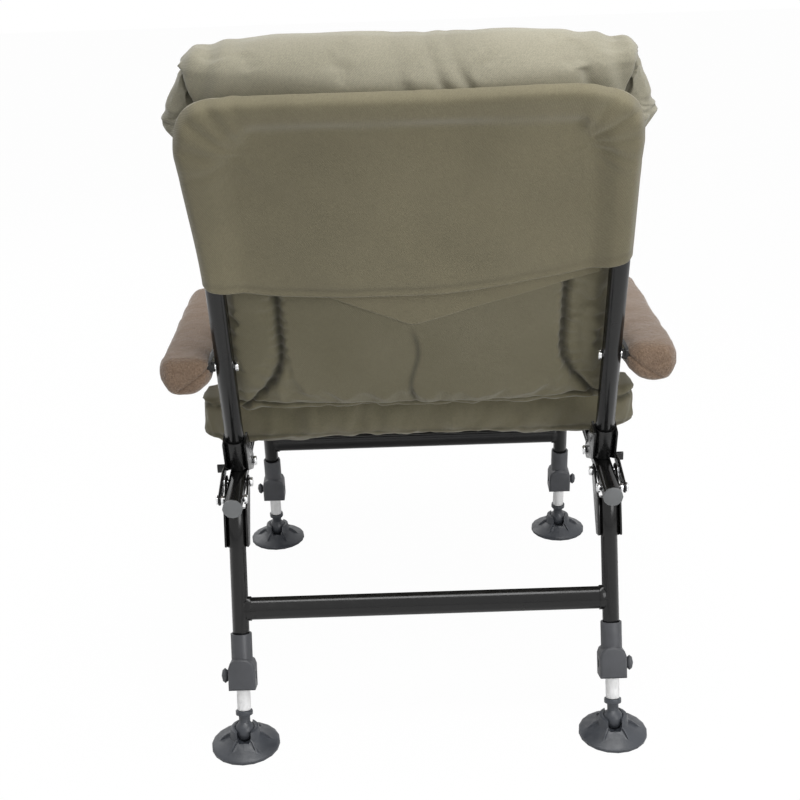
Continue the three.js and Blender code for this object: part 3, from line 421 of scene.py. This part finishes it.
cloth_finishes = (  # slot, finish, dark tone, pale tone, thread period and depth in metres, sheen
    ("hood_cloth", "hood_twill", (0.125, 0.110, 0.064), (0.158, 0.139, 0.082), 0.0013, 0.0003, 0.25),
    ("cushion_cloth", "cushion_twill", (0.104, 0.093, 0.052), (0.133, 0.119, 0.073), 0.0013, 0.0003, 0.2),
    ("pillow_cloth", "pillow_twill", (0.190, 0.177, 0.126), (0.252, 0.235, 0.172), 0.0013, 0.0003, 0.3),
    ("seat_cloth", "deck_cloth", (0.02, 0.02, 0.019), (0.032, 0.031, 0.029), 0.0018, 0.0005, 0.1),
)
for cloth_slot, *recipe in cloth_finishes:
    finish_of[cloth_slot] = woven(*recipe)
finish_of["brown_fleece"] = fleece("arm_fleece")
print("finishes:", len(finish_of))

# %% [markdown]
# ## Two slanted rulers
# The back leans and the seat rises, so the soft parts are easier to shape in the back's and the seat's own
# directions. Each ruler is a matrix that turns a point measured along the leaning back or the rising seat
# into a point of the chair. Its corner is a hinge bolt of the frame.

# %% Rulers of the back and the seat
back_lean = math.radians(15.5)
seat_rise = math.radians(3.5)
back_low, back_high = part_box("back_pivot_bolt_left")
back_hinge = Vector((0, (back_low.y + back_high.y) / 2, (back_low.z + back_high.z) / 2))
leg_low, leg_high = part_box("rear_leg_bolt_left")
leg_hinge = Vector((0, (leg_low.y + leg_high.y) / 2, (leg_low.z + leg_high.z) / 2))
on_back = Matrix.Translation(back_hinge) @ Matrix.Rotation(back_lean, 4, "X")
on_seat = Matrix.Translation(leg_hinge) @ Matrix.Rotation(seat_rise, 4, "X")
to_seat = on_seat.inverted()
print("back hinge at", tuple(round(v, 4) for v in back_hinge))


def smooth(x, low, high):
    t = min(1, max(0, (x - low) / (high - low)))
    return t * t * (3 - 2 * t)


def bell(x, width):
    return math.exp(-((x / width) ** 2))


def shape_points(piece, rule, ruler=None):
    back_again = ruler.inverted() if ruler else None
    for vertex in piece.data.vertices:
        point = back_again @ vertex.co if ruler else vertex.co.copy()
        moved = rule(point)
        vertex.co = ruler @ moved if ruler else moved
    piece.data.update()


# %% [markdown]
# ## How a stuffed piece is made
# A cushion is cloth pulled tight over foam. Its solid is remeshed to even cells, its seams are pinned, and
# a short cloth simulation with a little pressure and a little spare cloth lets the panels swell between
# the seams and pucker beside them. A cap on the movement keeps the piece clear of its neighbours. Then the
# mesh is refined once, and the seams and creases are pressed in and marked with an attribute that paints
# shade into them.

# %% Stuffing helpers
def even_cells(piece, size):
    remesh = piece.modifiers.new("cells", "REMESH")
    remesh.mode = "VOXEL"
    remesh.voxel_size = size
    apply_modifier(piece, remesh)


def refine(piece):
    detail = piece.modifiers.new("fine", "SUBSURF")
    detail.levels = detail.render_levels = 1
    apply_modifier(piece, detail)


last_frame = 20


def stuff(piece, pinned, ruler, pressure, spare, cap):
    scene = bpy.context.scene
    held = piece.vertex_groups.new(name="held")
    back_again = ruler.inverted()
    before = [vertex.co.copy() for vertex in piece.data.vertices]
    for vertex in piece.data.vertices:
        held.add([vertex.index], pinned(back_again @ vertex.co), "REPLACE")
    cloth = piece.modifiers.new("filling", "CLOTH")
    cloth.settings.quality = 4
    cloth.settings.mass = 0.3
    cloth.settings.vertex_group_mass = "held"
    cloth.settings.shrink_min = -spare
    cloth.settings.use_pressure = True
    cloth.settings.uniform_pressure_force = pressure
    cloth.settings.effector_weights.gravity = 0
    cloth.settings.bending_stiffness = 0.3
    cloth.point_cache.frame_start, cloth.point_cache.frame_end = 1, last_frame
    for frame_number in range(1, last_frame + 1):
        scene.frame_set(frame_number)
    swollen = piece.evaluated_get(bpy.context.evaluated_depsgraph_get()).to_mesh()
    after = [vertex.co.copy() for vertex in swollen.vertices]
    piece.modifiers.remove(cloth)
    scene.frame_set(1)
    for vertex, old, new in zip(piece.data.vertices, before, after):
        moved = new - old
        vertex.co = old + moved * min(1, cap / max(moved.length, 1e-9))
    piece.vertex_groups.clear()
    piece.data.update()
    furthest = max((new - old).length for old, new in zip(before, after))
    print(piece.name, "stuffed, furthest point moved", round(furthest, 4))


def press_seams(piece, ruler, depth_rule):
    back_again = ruler.inverted()
    # The mark stored on each point is painted shade for the seams and creases.
    painted_seam_and_crease_shade = piece.data.attributes.new("painted_seam_and_crease_shade", "FLOAT", "POINT")
    normals = [vertex.normal.copy() for vertex in piece.data.vertices]
    for vertex, normal in zip(piece.data.vertices, normals):
        depth, mark = depth_rule(back_again @ vertex.co, back_again.to_3x3() @ normal)
        vertex.co -= normal * depth
        painted_seam_and_crease_shade.data[vertex.index].value = mark
    piece.data.update()


def finish_soft(piece, node_name, finish, body):
    make_active(piece)
    bpy.ops.object.shade_smooth()
    piece.data.materials.append(finish_of[finish])
    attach(piece, body)
    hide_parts(node_name)
    print(piece.name, len(piece.data.polygons), "faces")


# %% [markdown]
# ## Back cushion
# The back cushion hangs in front of the back tubes. A bolster is sewn off down each side, and its seam
# runs outward at the foot. Cross rows quilt the front. On the rear panel the cloth is drawn into one
# winding upright crease in the middle, with softer drapes beside it, and the bolsters pucker where the
# frame squeezes them. The seams are pinned, so the foam swells between them.

# %% Back cushion
cushion_rear = -0.0222  # the hood and its flap hang just behind it
foot_seam, foot_bow = 0.098, 0.15
bolster_left, bolster_right = 0.174, 0.184  # from the middle to each bolster's seam
flare, flare_start, flare_length = 0.042, 0.195, 0.085
cross_rows, row_wave = (0.17, 0.26, 0.35), 0.004
seam_width, seam_depth = 0.005, 0.009
crease_foot, crease_head = (0.092, 0.12), (0.2, 0.235)
crease_width, crease_depth = 0.0035, 0.005
crease_x, crease_swing, crease_turn, crease_pace = -0.005, 0.005, 0.188, 57  # how it winds
crease_drape, back_uneven, head_rise = 0.0028, 0.002, 0.004
pucker_height, squeeze_depth = 0.0012, 0.0022
squeeze_side, squeeze_height = 0.226, 0.225  # where the frame's bolt presses on each bolster
foot_drapes = ((0.075, 0.3, 0.008, 0.0022), (-0.048, 0, 0.009, 0.0018), (-0.1, 0, 0.01, 0.0016),
               (0.14, 0, 0.012, 0.0016))  # place, lean, width and height of each


def bolster_line(p):
    upright = bolster_left if p.x < 0 else bolster_right
    return upright + flare * (max(0, flare_start - p.z) / flare_length) ** 2


def back_seams(p):
    inward = bolster_line(p) - abs(p.x)
    seam = bell(inward, seam_width)
    if p.y < 0.02:
        seam = max(seam, bell(p.z - foot_seam - foot_bow * p.x ** 2, 0.003))
    if p.y > 0.0 and inward > 0:
        for row in cross_rows:
            seam = max(seam, bell(p.z - row - row_wave * math.sin(p.x * 40), 0.006))
    return seam


back_cushion = copy_of("back_cushion", "back_cushion_quilted")
even_cells(back_cushion, size=0.006)
stuff(back_cushion, back_seams, on_back, pressure=4.5, spare=0.03, cap=0.007)
refine(back_cushion)


def back_press(p, n):
    seam = back_seams(p)
    beside = bell(abs(p.x) - bolster_line(p), 0.02)
    puckers = beside * math.sin(p.z * 330 + 12 * noise.noise(p * 9)) * pucker_height
    squeezed = bell(abs(p.x) - squeeze_side, 0.02) * bell(p.z - squeeze_height, 0.035)
    puckers += squeezed * math.sin(p.z * 300 + p.x * 90) * squeeze_depth
    crease = drape = 0
    if n.y < -0.3:
        crease_line = crease_x + crease_swing * math.cos((p.z - crease_turn) * crease_pace)
        length = smooth(p.z, *crease_foot) * (1 - smooth(p.z, *crease_head))
        crease = bell(p.x - crease_line, crease_width) * length
        drape = crease_drape * bell(p.x - crease_line - 0.018, 0.011) * length
        low = 1 - smooth(p.z, 0.12, 0.2)
        for place, lean, width, height in foot_drapes:
            drape += low * height * bell(p.x - place - lean * (p.z - 0.1), width)
    uneven = back_uneven * noise.noise(Vector((p.x * 9, p.y * 20, p.z * 7)))
    depth = seam_depth * seam + crease_depth * crease - drape + puckers + uneven
    # The returned mark paints shade into the seams and the winding crease.
    return depth, min(1, seam ** 2 * 1.3 + crease * 0.8)


def clear_of_hood(p):
    # The rear stays in front of the hood's flap, and the head rises to meet the pillow.
    return Vector((p.x, max(p.y, cushion_rear), p.z + head_rise * smooth(p.z, 0.4, 0.43)))


press_seams(back_cushion, on_back, back_press)
shape_points(back_cushion, clear_of_hood, on_back)
finish_soft(back_cushion, "back_cushion", "cushion_cloth", "back")
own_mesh(back_cushion)

# %% [markdown]
# ## A box of cloth
# The seat cushion and the hood are both sewn as boxes, so each starts as a cube primitive at its own size.
# It is cut into even cells by bisecting, and its points are then moved by a rule, as a sewer would shape
# the panels.

# %% Box of cloth
def box_from(low, high, cuts, open_below=False):
    deselect()
    bpy.ops.mesh.primitive_cube_add(size=1, location=(0, 0, 0))
    piece = bpy.context.object
    span = Vector(high) - Vector(low)
    for vertex in piece.data.vertices:
        vertex.co = Vector(low) + Vector((vertex.co[i] + 0.5) * span[i] for i in range(3))
    if open_below:
        bpy.ops.object.mode_set(mode="EDIT")
        bpy.ops.mesh.select_all(action="DESELECT")
        bpy.ops.object.mode_set(mode="OBJECT")
        for face in piece.data.polygons:
            face.select = face.normal.z < -0.9
        bpy.ops.object.mode_set(mode="EDIT")
        bpy.ops.mesh.select_mode(type="FACE")
        bpy.ops.mesh.delete(type="FACE")
        bpy.ops.object.mode_set(mode="OBJECT")
    cells = bmesh.new()
    cells.from_mesh(piece.data)
    for axis, count in enumerate(cuts):
        for cut_number in range(1, count):
            at = Vector(low)
            at[axis] += span[axis] * cut_number / count
            normal = Vector((0, 0, 0))
            normal[axis] = 1
            geometry = cells.verts[:] + cells.edges[:] + cells.faces[:]
            bmesh.ops.bisect_plane(cells, geom=geometry, plane_co=at, plane_no=normal)
    cells.to_mesh(piece.data)
    cells.free()
    return piece


# %% [markdown]
# ## Seat cushion
# The seat cushion is boxed: a top panel and a bottom panel with a wall between them, sewn along both of
# its edges. Its rear corners are wider than the frame and fill the space below the arms, where the wall
# folds over itself. Two cross rows quilt the top.

# %% Seat cushion
seat_low, seat_high = 0.0135, 0.0835  # of its underside and of its upper seam, above the side tubes' axis
seat_back, seat_nose = 0.069, 0.491
wing_half, lap_half = 0.294, 0.254
lap_start, lap_end = 0.118, 0.156  # where the wings narrow to the lap
lower_seam, fold_height = 0.031, 0.074
corner_cut, turn_up, crown = 0.012, 0.014, 0.006
seat_rows = (0.204, 0.348)
row_depth, wall_depth, fold_depth = 0.007, 0.0016, 0.006
seat_floor = 0.0132  # the deck lies just below it
fold_wave, corner_out, rear_drape, wall_pucker, seat_uneven = 0.004, 0.002, 0.0014, 0.0006, 0.0022


def seat_half(y):
    return wing_half + (lap_half - wing_half) * smooth(y, lap_start, lap_end)


def seat_rule(p):
    u = p.x / wing_half
    v = (p.y - seat_back) / (seat_nose - seat_back) * 2 - 1
    share = (p.z - seat_low) / (seat_high - seat_low)
    x, y = u * seat_half(p.y), p.y
    # The rear and front walls bow a little, and the plan's corners are rounded.
    corner = smooth(abs(u), 0.88, 1) * smooth(abs(v), 0.9, 1)
    x -= math.copysign(corner_cut * corner, x)
    y -= math.copysign(corner_cut * corner, v)
    # The underside turns up towards its edge, and the top is crowned.
    edge = max(smooth(abs(u), 0.86, 1), smooth(abs(v), 0.9, 1))
    z = p.z + turn_up * edge * (1 - share) ** 2
    z += crown * share * (1 - u ** 4) * (1 - v ** 4)
    return Vector((x, y, z))


def seat_seams(p):
    return max(bell(p.y - row, 0.006) for row in seat_rows) if p.z > 0.05 else 0


def wall_seams(p):
    return max(bell(p.z - lower_seam, 0.003), bell(p.z - seat_high, 0.003))


seat_cushion = box_from((-wing_half, seat_back, seat_low), (wing_half, seat_nose, seat_high),
                       cuts=(48, 36, 8))
seat_cushion.name = "seat_cushion_quilted"
shape_points(seat_cushion, seat_rule)
seat_cushion.data.transform(on_seat)
even_cells(seat_cushion, size=0.006)
stuff(seat_cushion, lambda p: max(seat_seams(p), 0.7 * wall_seams(p)), on_seat, pressure=4.0, spare=0.03,
      cap=0.006)
refine(seat_cushion)


def seat_press(p, n):
    seam = seat_seams(p)
    upright = smooth(1 - abs(n.z), 0.35, 0.8)
    edge = wall_seams(p) * upright
    u, behind = abs(p.x) / wing_half, 1 - smooth(p.y, 0.075, 0.1)
    # The wall folds over itself at the rear corners.
    above_fold = p.z - fold_height + fold_wave * math.sin(p.x * 30)
    fold = bell(above_fold, 0.0028) * smooth(u, 0.84, 0.93) * upright
    drapes = behind * rear_drape * math.sin(p.x * 90 + 5 * noise.noise(p * 12)) * bell(p.z - 0.055, 0.025)
    uneven = seat_uneven * noise.noise(Vector((p.x * 8, p.y * 8, p.z * 22)))
    puckers = bell(p.z - 0.057, 0.03) * upright * math.sin(p.x * 230 + p.y * 200) * wall_pucker
    # The mark paints shade into the row seams, the wall seams and the fold at the rear corners.
    mark = max(seam * 0.9, edge * 0.6, fold * 0.9)
    corners = smooth(u, 0.9, 0.98) * (bell(p.z - 0.033, 0.009) + 0.6 * bell(p.z - 0.082, 0.006))
    pressed = row_depth * seam + wall_depth * edge + fold_depth * fold
    return pressed - corner_out * corners + drapes + uneven + puckers, mark


press_seams(seat_cushion, on_seat, seat_press)
shape_points(seat_cushion, lambda p: Vector((p.x, p.y, max(p.z, seat_floor))), on_seat)
finish_soft(seat_cushion, "seat_cushion", "cushion_cloth", "seat")
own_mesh(seat_cushion)

# %% [markdown]
# ## Headrest pillow
# The pillow is a fat cloth tube over the top of the back. Each end is folded in like the end of a parcel:
# a deep crease runs down and inward from the side of the roll, and under it a loose ear of cloth stands
# out to a point. Soft creases run down from the top where the cloth is drawn together.

# %% Headrest pillow
pillow_foot, pillow_top, pillow_half = 0.440, 0.576, 0.279
# Height and half width along each end, as the cloth ear stands out and the roll above it draws in.
left_outline = ((0.440, 0.255), (0.452, 0.262), (0.484, 0.289), (0.497, 0.289), (0.548, 0.268),
                (0.553, 0.266), (0.560, 0.267), (0.570, 0.258), (0.580, 0.243), (0.600, 0.215))
right_outline = ((0.440, 0.254), (0.455, 0.262), (0.488, 0.284), (0.500, 0.279), (0.546, 0.265),
                 (0.551, 0.262), (0.558, 0.263), (0.568, 0.255), (0.578, 0.236), (0.600, 0.208))
neck_share, crown_share = 0.1, 0.11  # by which the frame's pillow narrows below and above
held_end = 0.265
crease_sunk, overhang, end_folds, drawn_in = 0.013, 0.006, 0.0022, 0.0042
left_swell, top_sink, foot_drop = 0.0045, 0.002, 0.003
pillow_ripple, pillow_lumps = 0.0014, 0.0025
left_crease, right_crease, crease_top = (0.262, 0.40), (0.256, 0.32), 0.556  # start and lean, and height
drawn_creases = ((-0.012, 0.010, 0.25), (0.026, 0.007, 0.5), (0.052, 0.007, 0.6), (0.19, 0.007, 0.3))


def ear_half(p):
    outline = left_outline if p.x < 0 else right_outline
    for (low_z, low_x), (high_z, high_x) in zip(outline, outline[1:]):
        if p.z <= high_z:
            return low_x + (high_x - low_x) * max(0, p.z - low_z) / (high_z - low_z)
    return outline[-1][1]


def solid_half(z):
    up = (z - pillow_foot) / (pillow_top - pillow_foot)
    return pillow_half * (1 - neck_share * (1 - smooth(up, 0.34, 0.5)) - crown_share * smooth(up, 0.5, 1))


def crease_place(p):
    start, lean = left_crease if p.x < 0 else right_crease
    return abs(p.x) - (start - (crease_top - p.z) * lean)


def pillow_rule(p):
    reach = smooth(abs(p.x), 0.15, 0.25)
    x = p.x * (1 + reach * (ear_half(p) / solid_half(p.z) - 1))
    upper = smooth(p.z, 0.5, 0.57)
    lower = 1 - smooth(p.z, 0.445, 0.47)
    z = p.z + upper * (left_swell * bell(p.x + 0.17, 0.08) - top_sink) - foot_drop * lower
    return Vector((x, p.y, z))


pillow = copy_of("headrest_pillow", "headrest_pillow_stuffed")
even_cells(pillow, size=0.005)
stuff(pillow, lambda p: bell(abs(p.x) - held_end, 0.006), on_back, pressure=3.0, spare=0.02, cap=0.004)
refine(pillow)
shape_points(pillow, pillow_rule, on_back)


def pillow_press(p, n):
    side = abs(p.x)
    behind = smooth(0.045 - p.y, 0, 0.02)
    crease_line = crease_place(p)
    run = smooth(p.z, 0.495, 0.512) * (1 - smooth(p.z, crease_top, 0.562))
    crease = bell(crease_line, 0.0035) * run * behind
    # The roll overhangs the ear just below its crease.
    step = smooth(crease_line, 0, 0.004) * (1 - smooth(crease_line, 0.01, 0.035)) * run * behind
    folds = smooth(side, 0.17, 0.24) * (1 - smooth(crease_line, -0.01, 0)) * math.sin(side * 190 + p.z * 60)
    drawn = 0
    for place, width, lean in drawn_creases:
        drawn += bell(p.x - place - lean * (0.56 - p.z), width)
    drawn *= smooth(p.z, 0.5, 0.53) * smooth(n.z + 0.5, 0, 0.5) * (1 - 0.75 * smooth(n.z, 0.4, 0.85))
    ripple = pillow_ripple * noise.noise(Vector((p.x * 30, p.y * 10, p.z * 6)))
    uneven = ripple + pillow_lumps * noise.noise(p * 7)
    depth = crease_sunk * crease + overhang * step + end_folds * folds + drawn_in * drawn + uneven
    # The mark paints shade into the end creases and the drawn creases.
    return depth, min(1, crease * 1.2 + 0.2 * drawn)


press_seams(pillow, on_back, pillow_press)
finish_soft(pillow, "headrest_pillow", "pillow_cloth", "back")
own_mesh(pillow)

# %% [markdown]
# ## Hood
# The hood is an upside-down pocket of coated cloth pulled over the top of the back frame. It starts as a
# box whose bottom face is taken out. Its corners are bent round the tube, its hem is let down in the
# middle, and the rear panel sinks in between the tubes, so that a roll shows along the top and down both
# sides. Solidify then gives the cloth its thickness.

# %% Hood
hood_half, hood_top, hood_foot = 0.2576, 0.5446, 0.316
hood_rear, hood_front = -0.0506, -0.0214
hood_middle, hood_depth = (hood_rear + hood_front) / 2, (hood_front - hood_rear) / 2
corner_round = 0.0696
hem_low, hem_shift, hem_bow, hem_seam = 0.2825, 0.045, 0.5, 0.011
loose_left, point_out, sink_depth, gather_height = 0.012, 0.0085, 0.0115, 0.004
roll_top, roll_side, roll_corner = (0.023, 0.042), (0.022, 0.055), (0.026, 0.06)  # where the panel sinks
wave_height, drape_height, slant_height, ruck_height, hem_height = 0.0024, 0.004, 0.0022, 0.0016, 0.0012
loft_height, loft_more = 0.004, 0.004  # of the roll along the top, and more towards its right


def hood_hem(x):
    return hem_low + hem_bow * (x + hem_shift) ** 2


def hood_rule(p):
    share = (p.z - hood_foot) / (hood_top - hood_foot)
    x, z = p.x, p.z - (hood_foot - hood_hem(p.x)) * (1 - share)
    past_x, past_z = abs(x) - (hood_half - corner_round), z - (hood_top - corner_round)
    near = min(hood_top - z, hood_half - abs(x))
    if past_x > 0 and past_z > 0:
        # The square corner of the box is drawn in to a round one.
        reach, length = max(past_x, past_z), math.hypot(past_x, past_z)
        x = math.copysign(hood_half - corner_round + past_x * reach / length, x)
        z = hood_top - corner_round + past_z * reach / length
        near = corner_round - reach
    # Over the tube the two panels round off to the edge.
    round_off = math.sqrt(max(0, 1 - (1 - min(1, max(0, near) / hood_depth)) ** 2))
    y = hood_middle + (p.y - hood_middle) * max(0.04, round_off)
    # The cloth stands a little loose of the tube at the left corner.
    if x < 0:
        x -= loose_left * smooth(z, 0.30, 0.5) * smooth(-x, 0.1, 0.24)
    return Vector((x, y, z))


def hood_folds(p):
    from_top, from_side = hood_top - p.z, hood_half - abs(p.x)
    # At the round corners of the tube the cloth stands out in a blunt point.
    dx, dz = abs(p.x) - (hood_half - corner_round), p.z - (hood_top - corner_round)
    fan = math.atan2(dx, dz) if dx > -0.03 and dz > -0.05 else 0
    in_corner = dx > 0 and dz > 0
    point = bell(fan - 0.8, 0.5) * smooth(math.hypot(dx, dz), 0.02, 0.065) * point_out if in_corner else 0
    p = Vector((p.x + math.copysign(point * 0.72, p.x), p.y, p.z + point * 0.7))
    if p.y > hood_middle:
        return Vector((p.x, p.y, p.z + hem_height * noise.noise(Vector((p.x * 55, 3, 0)))))
    sink = smooth(from_top, *roll_top) * smooth(from_side, *roll_side)
    if in_corner:
        sink *= smooth(corner_round - math.hypot(dx, dz), *roll_corner)
    wave = wave_height * math.sin(p.x * 23 + 1.2 + 8 * from_top) * smooth(from_top, 0.06, 0.2)
    drape = drape_height * noise.noise(Vector((p.x * 9 + 3, 0, p.z * 5)))
    drape += slant_height * noise.noise(Vector(((p.x + p.z) * 14, 5, (p.x - p.z) * 8)))
    # Cloth gathered round the corners of the tube throws short folds that fan out.
    gather = smooth(dx, -0.03, 0.02) * smooth(dz, -0.05, 0.0) * smooth(from_top, -0.006, 0.004)
    pucker = -gather * abs(math.sin(fan * 7 + 2 * noise.noise(p * 8))) * gather_height
    ruck = ruck_height * noise.noise(Vector((p.x * 48, 3, p.z * 20))) * bell(from_top - 0.006, 0.016)
    inward = sink_depth * sink + (wave + drape) * sink + pucker + 0.5 * ruck
    hem = hem_height * bell(p.z - hood_hem(p.x) - hem_seam, 0.002)
    loft = (loft_height + loft_more * smooth(p.x, 0.02, 0.16)) * bell(from_top - 0.002, 0.015)
    loft *= smooth(from_side, 0.03, 0.08)
    return Vector((p.x, p.y + inward + hem - 0.9 * loft, p.z + abs(ruck) + loft))


hood = box_from((-hood_half, hood_rear, hood_foot), (hood_half, hood_front, hood_top),
                cuts=(96, 6, 52), open_below=True)
hood.name = "hood_sewn"
shape_points(hood, hood_rule)
shape_points(hood, hood_folds)

# %% [markdown]
# ## A wall for the cloth sheets
# A sheet of cloth is first a single skin. Its doubled points are merged and its faces turned the same way,
# its area is measured while it is one skin, and then Solidify gives it the cloth's thickness.

# %% Cloth wall
def merge_skin(piece):
    make_active(piece)
    bpy.ops.object.mode_set(mode="EDIT")
    bpy.ops.mesh.select_all(action="SELECT")
    bpy.ops.mesh.remove_doubles(threshold=0.00002)
    bpy.ops.mesh.normals_make_consistent(inside=False)
    bpy.ops.object.mode_set(mode="OBJECT")
    return sum(face.area for face in piece.data.polygons)


def cloth_wall(piece, thickness, offset):
    wall = piece.modifiers.new("cloth", "SOLIDIFY")
    wall.thickness = thickness
    wall.offset = offset
    apply_modifier(piece, wall)


hood_area = merge_skin(hood)
# The hem's seam gets a light mark of painted shade.
painted_seam_and_crease_shade = hood.data.attributes.new("painted_seam_and_crease_shade", "FLOAT", "POINT")
for vertex in hood.data.vertices:
    painted_seam_and_crease_shade.data[vertex.index].value = 0.4 * bell(vertex.co.z - hood_hem(vertex.co.x) - hem_seam, 0.002)
cloth_wall(hood, thickness=0.0014, offset=-1)
hood.data.transform(on_back)
refine(hood)
finish_soft(hood, "hood", "hood_cloth", "back")
print("hood cloth", round(hood_area, 3), "m2")

# %% [markdown]
# ## Flap under the hood
# A flap of the same cloth hangs inside the hood, against the back cushion, and its lopsided V shows below
# the hem. It is a grid drawn down to a point.

# %% Flap
flap_top, flap_point = 0.321, Vector((-0.007, 0.230))
flap_left, flap_right = (-0.204, 0.452), (0.224, 0.312)  # side edge, and rise of the V towards it
flap_plane, flap_wave = -0.0243, 0.0006
deselect()
bpy.ops.mesh.primitive_grid_add(x_subdivisions=60, y_subdivisions=20, size=1, location=(0, 0, 0))
flap = bpy.context.object
flap.name = "hood_flap_sewn"


def flap_rule(p):
    x = flap_left[0] + (flap_right[0] - flap_left[0]) * (p.x + 0.5)
    rise = flap_left[1] if x < flap_point.x else flap_right[1]
    foot = min(flap_point.y + rise * abs(x - flap_point.x), flap_top - 0.001)
    z = foot + (flap_top - foot) * (p.y + 0.5)
    return Vector((x, flap_plane - flap_wave * math.sin(x * 60), z))


shape_points(flap, flap_rule)
flap_area = merge_skin(flap)
cloth_wall(flap, thickness=0.0013, offset=0)
flap.data.transform(on_back)
refine(flap)
finish_soft(flap, "hood_flap", "hood_cloth", "back")

# %% [markdown]
# ## Seat deck
# A sheet of black cloth is stretched between the side tubes and carries the seat cushion. It sags a little
# in the middle.

# %% Seat deck
deck_corners = [to_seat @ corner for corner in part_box("seat_deck")]
deck_inset, deck_ends = 0.001, 0.002  # the cloth stays inside the solid's edges
deck_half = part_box("seat_deck")[1].x - deck_inset
deck_rear, deck_front = deck_corners[0].y + deck_ends, deck_corners[1].y - deck_ends
deck_height, deck_sag, deck_round = 0.0113, 0.003, 0.05
deselect()
bpy.ops.mesh.primitive_grid_add(x_subdivisions=40, y_subdivisions=36, size=1, location=(0, 0, 0))
deck = bpy.context.object
deck.name = "seat_deck_cloth"


def deck_rule(p):
    u, v = p.x * 2, p.y + 0.5
    y = deck_rear + (deck_front - deck_rear) * v
    corner = max(0, y - (deck_front - deck_round))
    half = deck_half - deck_round + math.sqrt(max(0, deck_round ** 2 - corner ** 2))
    return Vector((u * half, y, deck_height - deck_sag * (1 - u ** 2) * math.sin(math.pi * v)))


shape_points(deck, deck_rule)
deck_area = merge_skin(deck)
cloth_wall(deck, thickness=0.0015, offset=0)
deck.data.transform(on_seat)
finish_soft(deck, "seat_deck", "seat_cloth", "seat")

# %% [markdown]
# ## Arm pads
# Each arm is a flat bar in a padded sleeve of brown fleece. The sleeve starts as a box, its section is
# rounded, its belly hangs a little below, and a pocket is cut for the strut with a Boolean. Its rear end
# is closed with a slanted seam. The pile is fine bump in the finish, with a slight unevenness in the
# shape.

# %% Arm pads
section_power = 3.4  # between a round section (2) and a square one
end_rounding = 0.3
pocket_inner, pocket_length, pocket_room = 0.25, 0.11, 0.0075
flank_lift, flank_lift_rear, belly_drop, belly_drop_rear, crown_lift = 0.004, 0.012, 0.002, 0.005, 0.0015
lump_height, pile_height, end_seam_depth, side_seam_depth = 0.0014, 0.0005, 0.0028, 0.0012


def soften(piece, times):
    smoothing = piece.modifiers.new("round", "SMOOTH")
    smoothing.iterations = times
    smoothing.factor = 0.5
    apply_modifier(piece, smoothing)


def cut_box(piece, low, high):
    cutter = box_from(low, high, cuts=(1, 1, 1))
    carve = piece.modifiers.new("pocket", "BOOLEAN")
    carve.operation = "DIFFERENCE"
    carve.solver = "EXACT"
    carve.object = cutter
    apply_modifier(piece, carve)
    bpy.data.objects.remove(cutter, do_unlink=True)


def arm_sleeve(side, outward):
    low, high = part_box("arm_pad_" + side)
    middle, half = (low + high) / 2, (high - low) / 2
    piece = box_from(low, high, cuts=(10, 30, 8))
    piece.name = "arm_pad_" + side + "_fleece"

    def section(p):
        u, v = (p.x - middle.x) / half.x, (p.z - middle.z) / half.z
        w = (p.y - middle.y) / half.y
        length = (abs(u) ** section_power + abs(v) ** section_power) ** (1 / section_power)
        shrink = max(abs(u), abs(v)) / length if length > 0 else 1
        ends = 1 - end_rounding * smooth(abs(w), 0.9, 1) ** 2
        return Vector((middle.x + u * half.x * shrink * ends, p.y, middle.z + v * half.z * shrink * ends))

    def belly(p):
        u, v = (p.x - middle.x) / half.x * outward, (p.z - middle.z) / half.z
        rear = 1 - smooth(p.y - low.y, 0.0, 0.09)
        hang = max(0, 1 - ((u - 0.15) / 0.9) ** 2) * smooth(-v, 0.0, 0.8)
        flank = smooth(abs(u - 0.1), 0.5, 1.05) * smooth(-v, 0.1, 0.9)
        crown = max(0, 1 - u * u) * smooth(v, 0.2, 0.9)
        flank *= 1 if u > 0.1 else 0.15
        lift = (flank_lift + flank_lift_rear * rear) * flank - (belly_drop + belly_drop_rear * rear) * hang
        return Vector((p.x, p.y, p.z + lift + crown_lift * crown))

    shape_points(piece, section)
    strut_low, strut_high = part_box("arm_strut_" + side)
    bar_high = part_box("arm_bar_" + side)[1]
    strut_side = abs(strut_low.x + strut_high.x) / 2 + pocket_room
    inner, outer = sorted((outward * pocket_inner, outward * strut_side))
    cut_box(piece, (inner, strut_high.y - pocket_length, low.z - 0.02),
            (outer, high.y + 0.01, bar_high.z + 0.0015))
    even_cells(piece, size=0.004)
    soften(piece, times=8)
    shape_points(piece, belly)
    refine(piece)

    def pile(p, n):
        u, v = (p.x - middle.x) / half.x * outward, (p.z - middle.z) / half.z
        lumps = lump_height * noise.noise(p * 30) + pile_height * noise.noise(p * 110)
        rear = 1 - smooth(p.y - low.y, 0.012, 0.03)
        slanted = bell(v + 1 - 1.05 * (0.35 - u), 0.075) * smooth(u, -1.1, -0.9)
        slanted *= (1 - smooth(u, 0.25, 0.4)) * rear
        along = bell(v + 0.05, 0.05) * smooth(1 - abs(n.z), 0.5, 0.9) * (1 - rear) * 0.4
        depth = lumps + end_seam_depth * slanted + side_seam_depth * along
        return depth, min(1, slanted * 0.8 + along * 0.5)

    press_seams(piece, Matrix.Identity(4), pile)
    finish_soft(piece, "arm_pad_" + side, "brown_fleece", "arm_" + side)


arm_sleeve("left", -1)
arm_sleeve("right", 1)
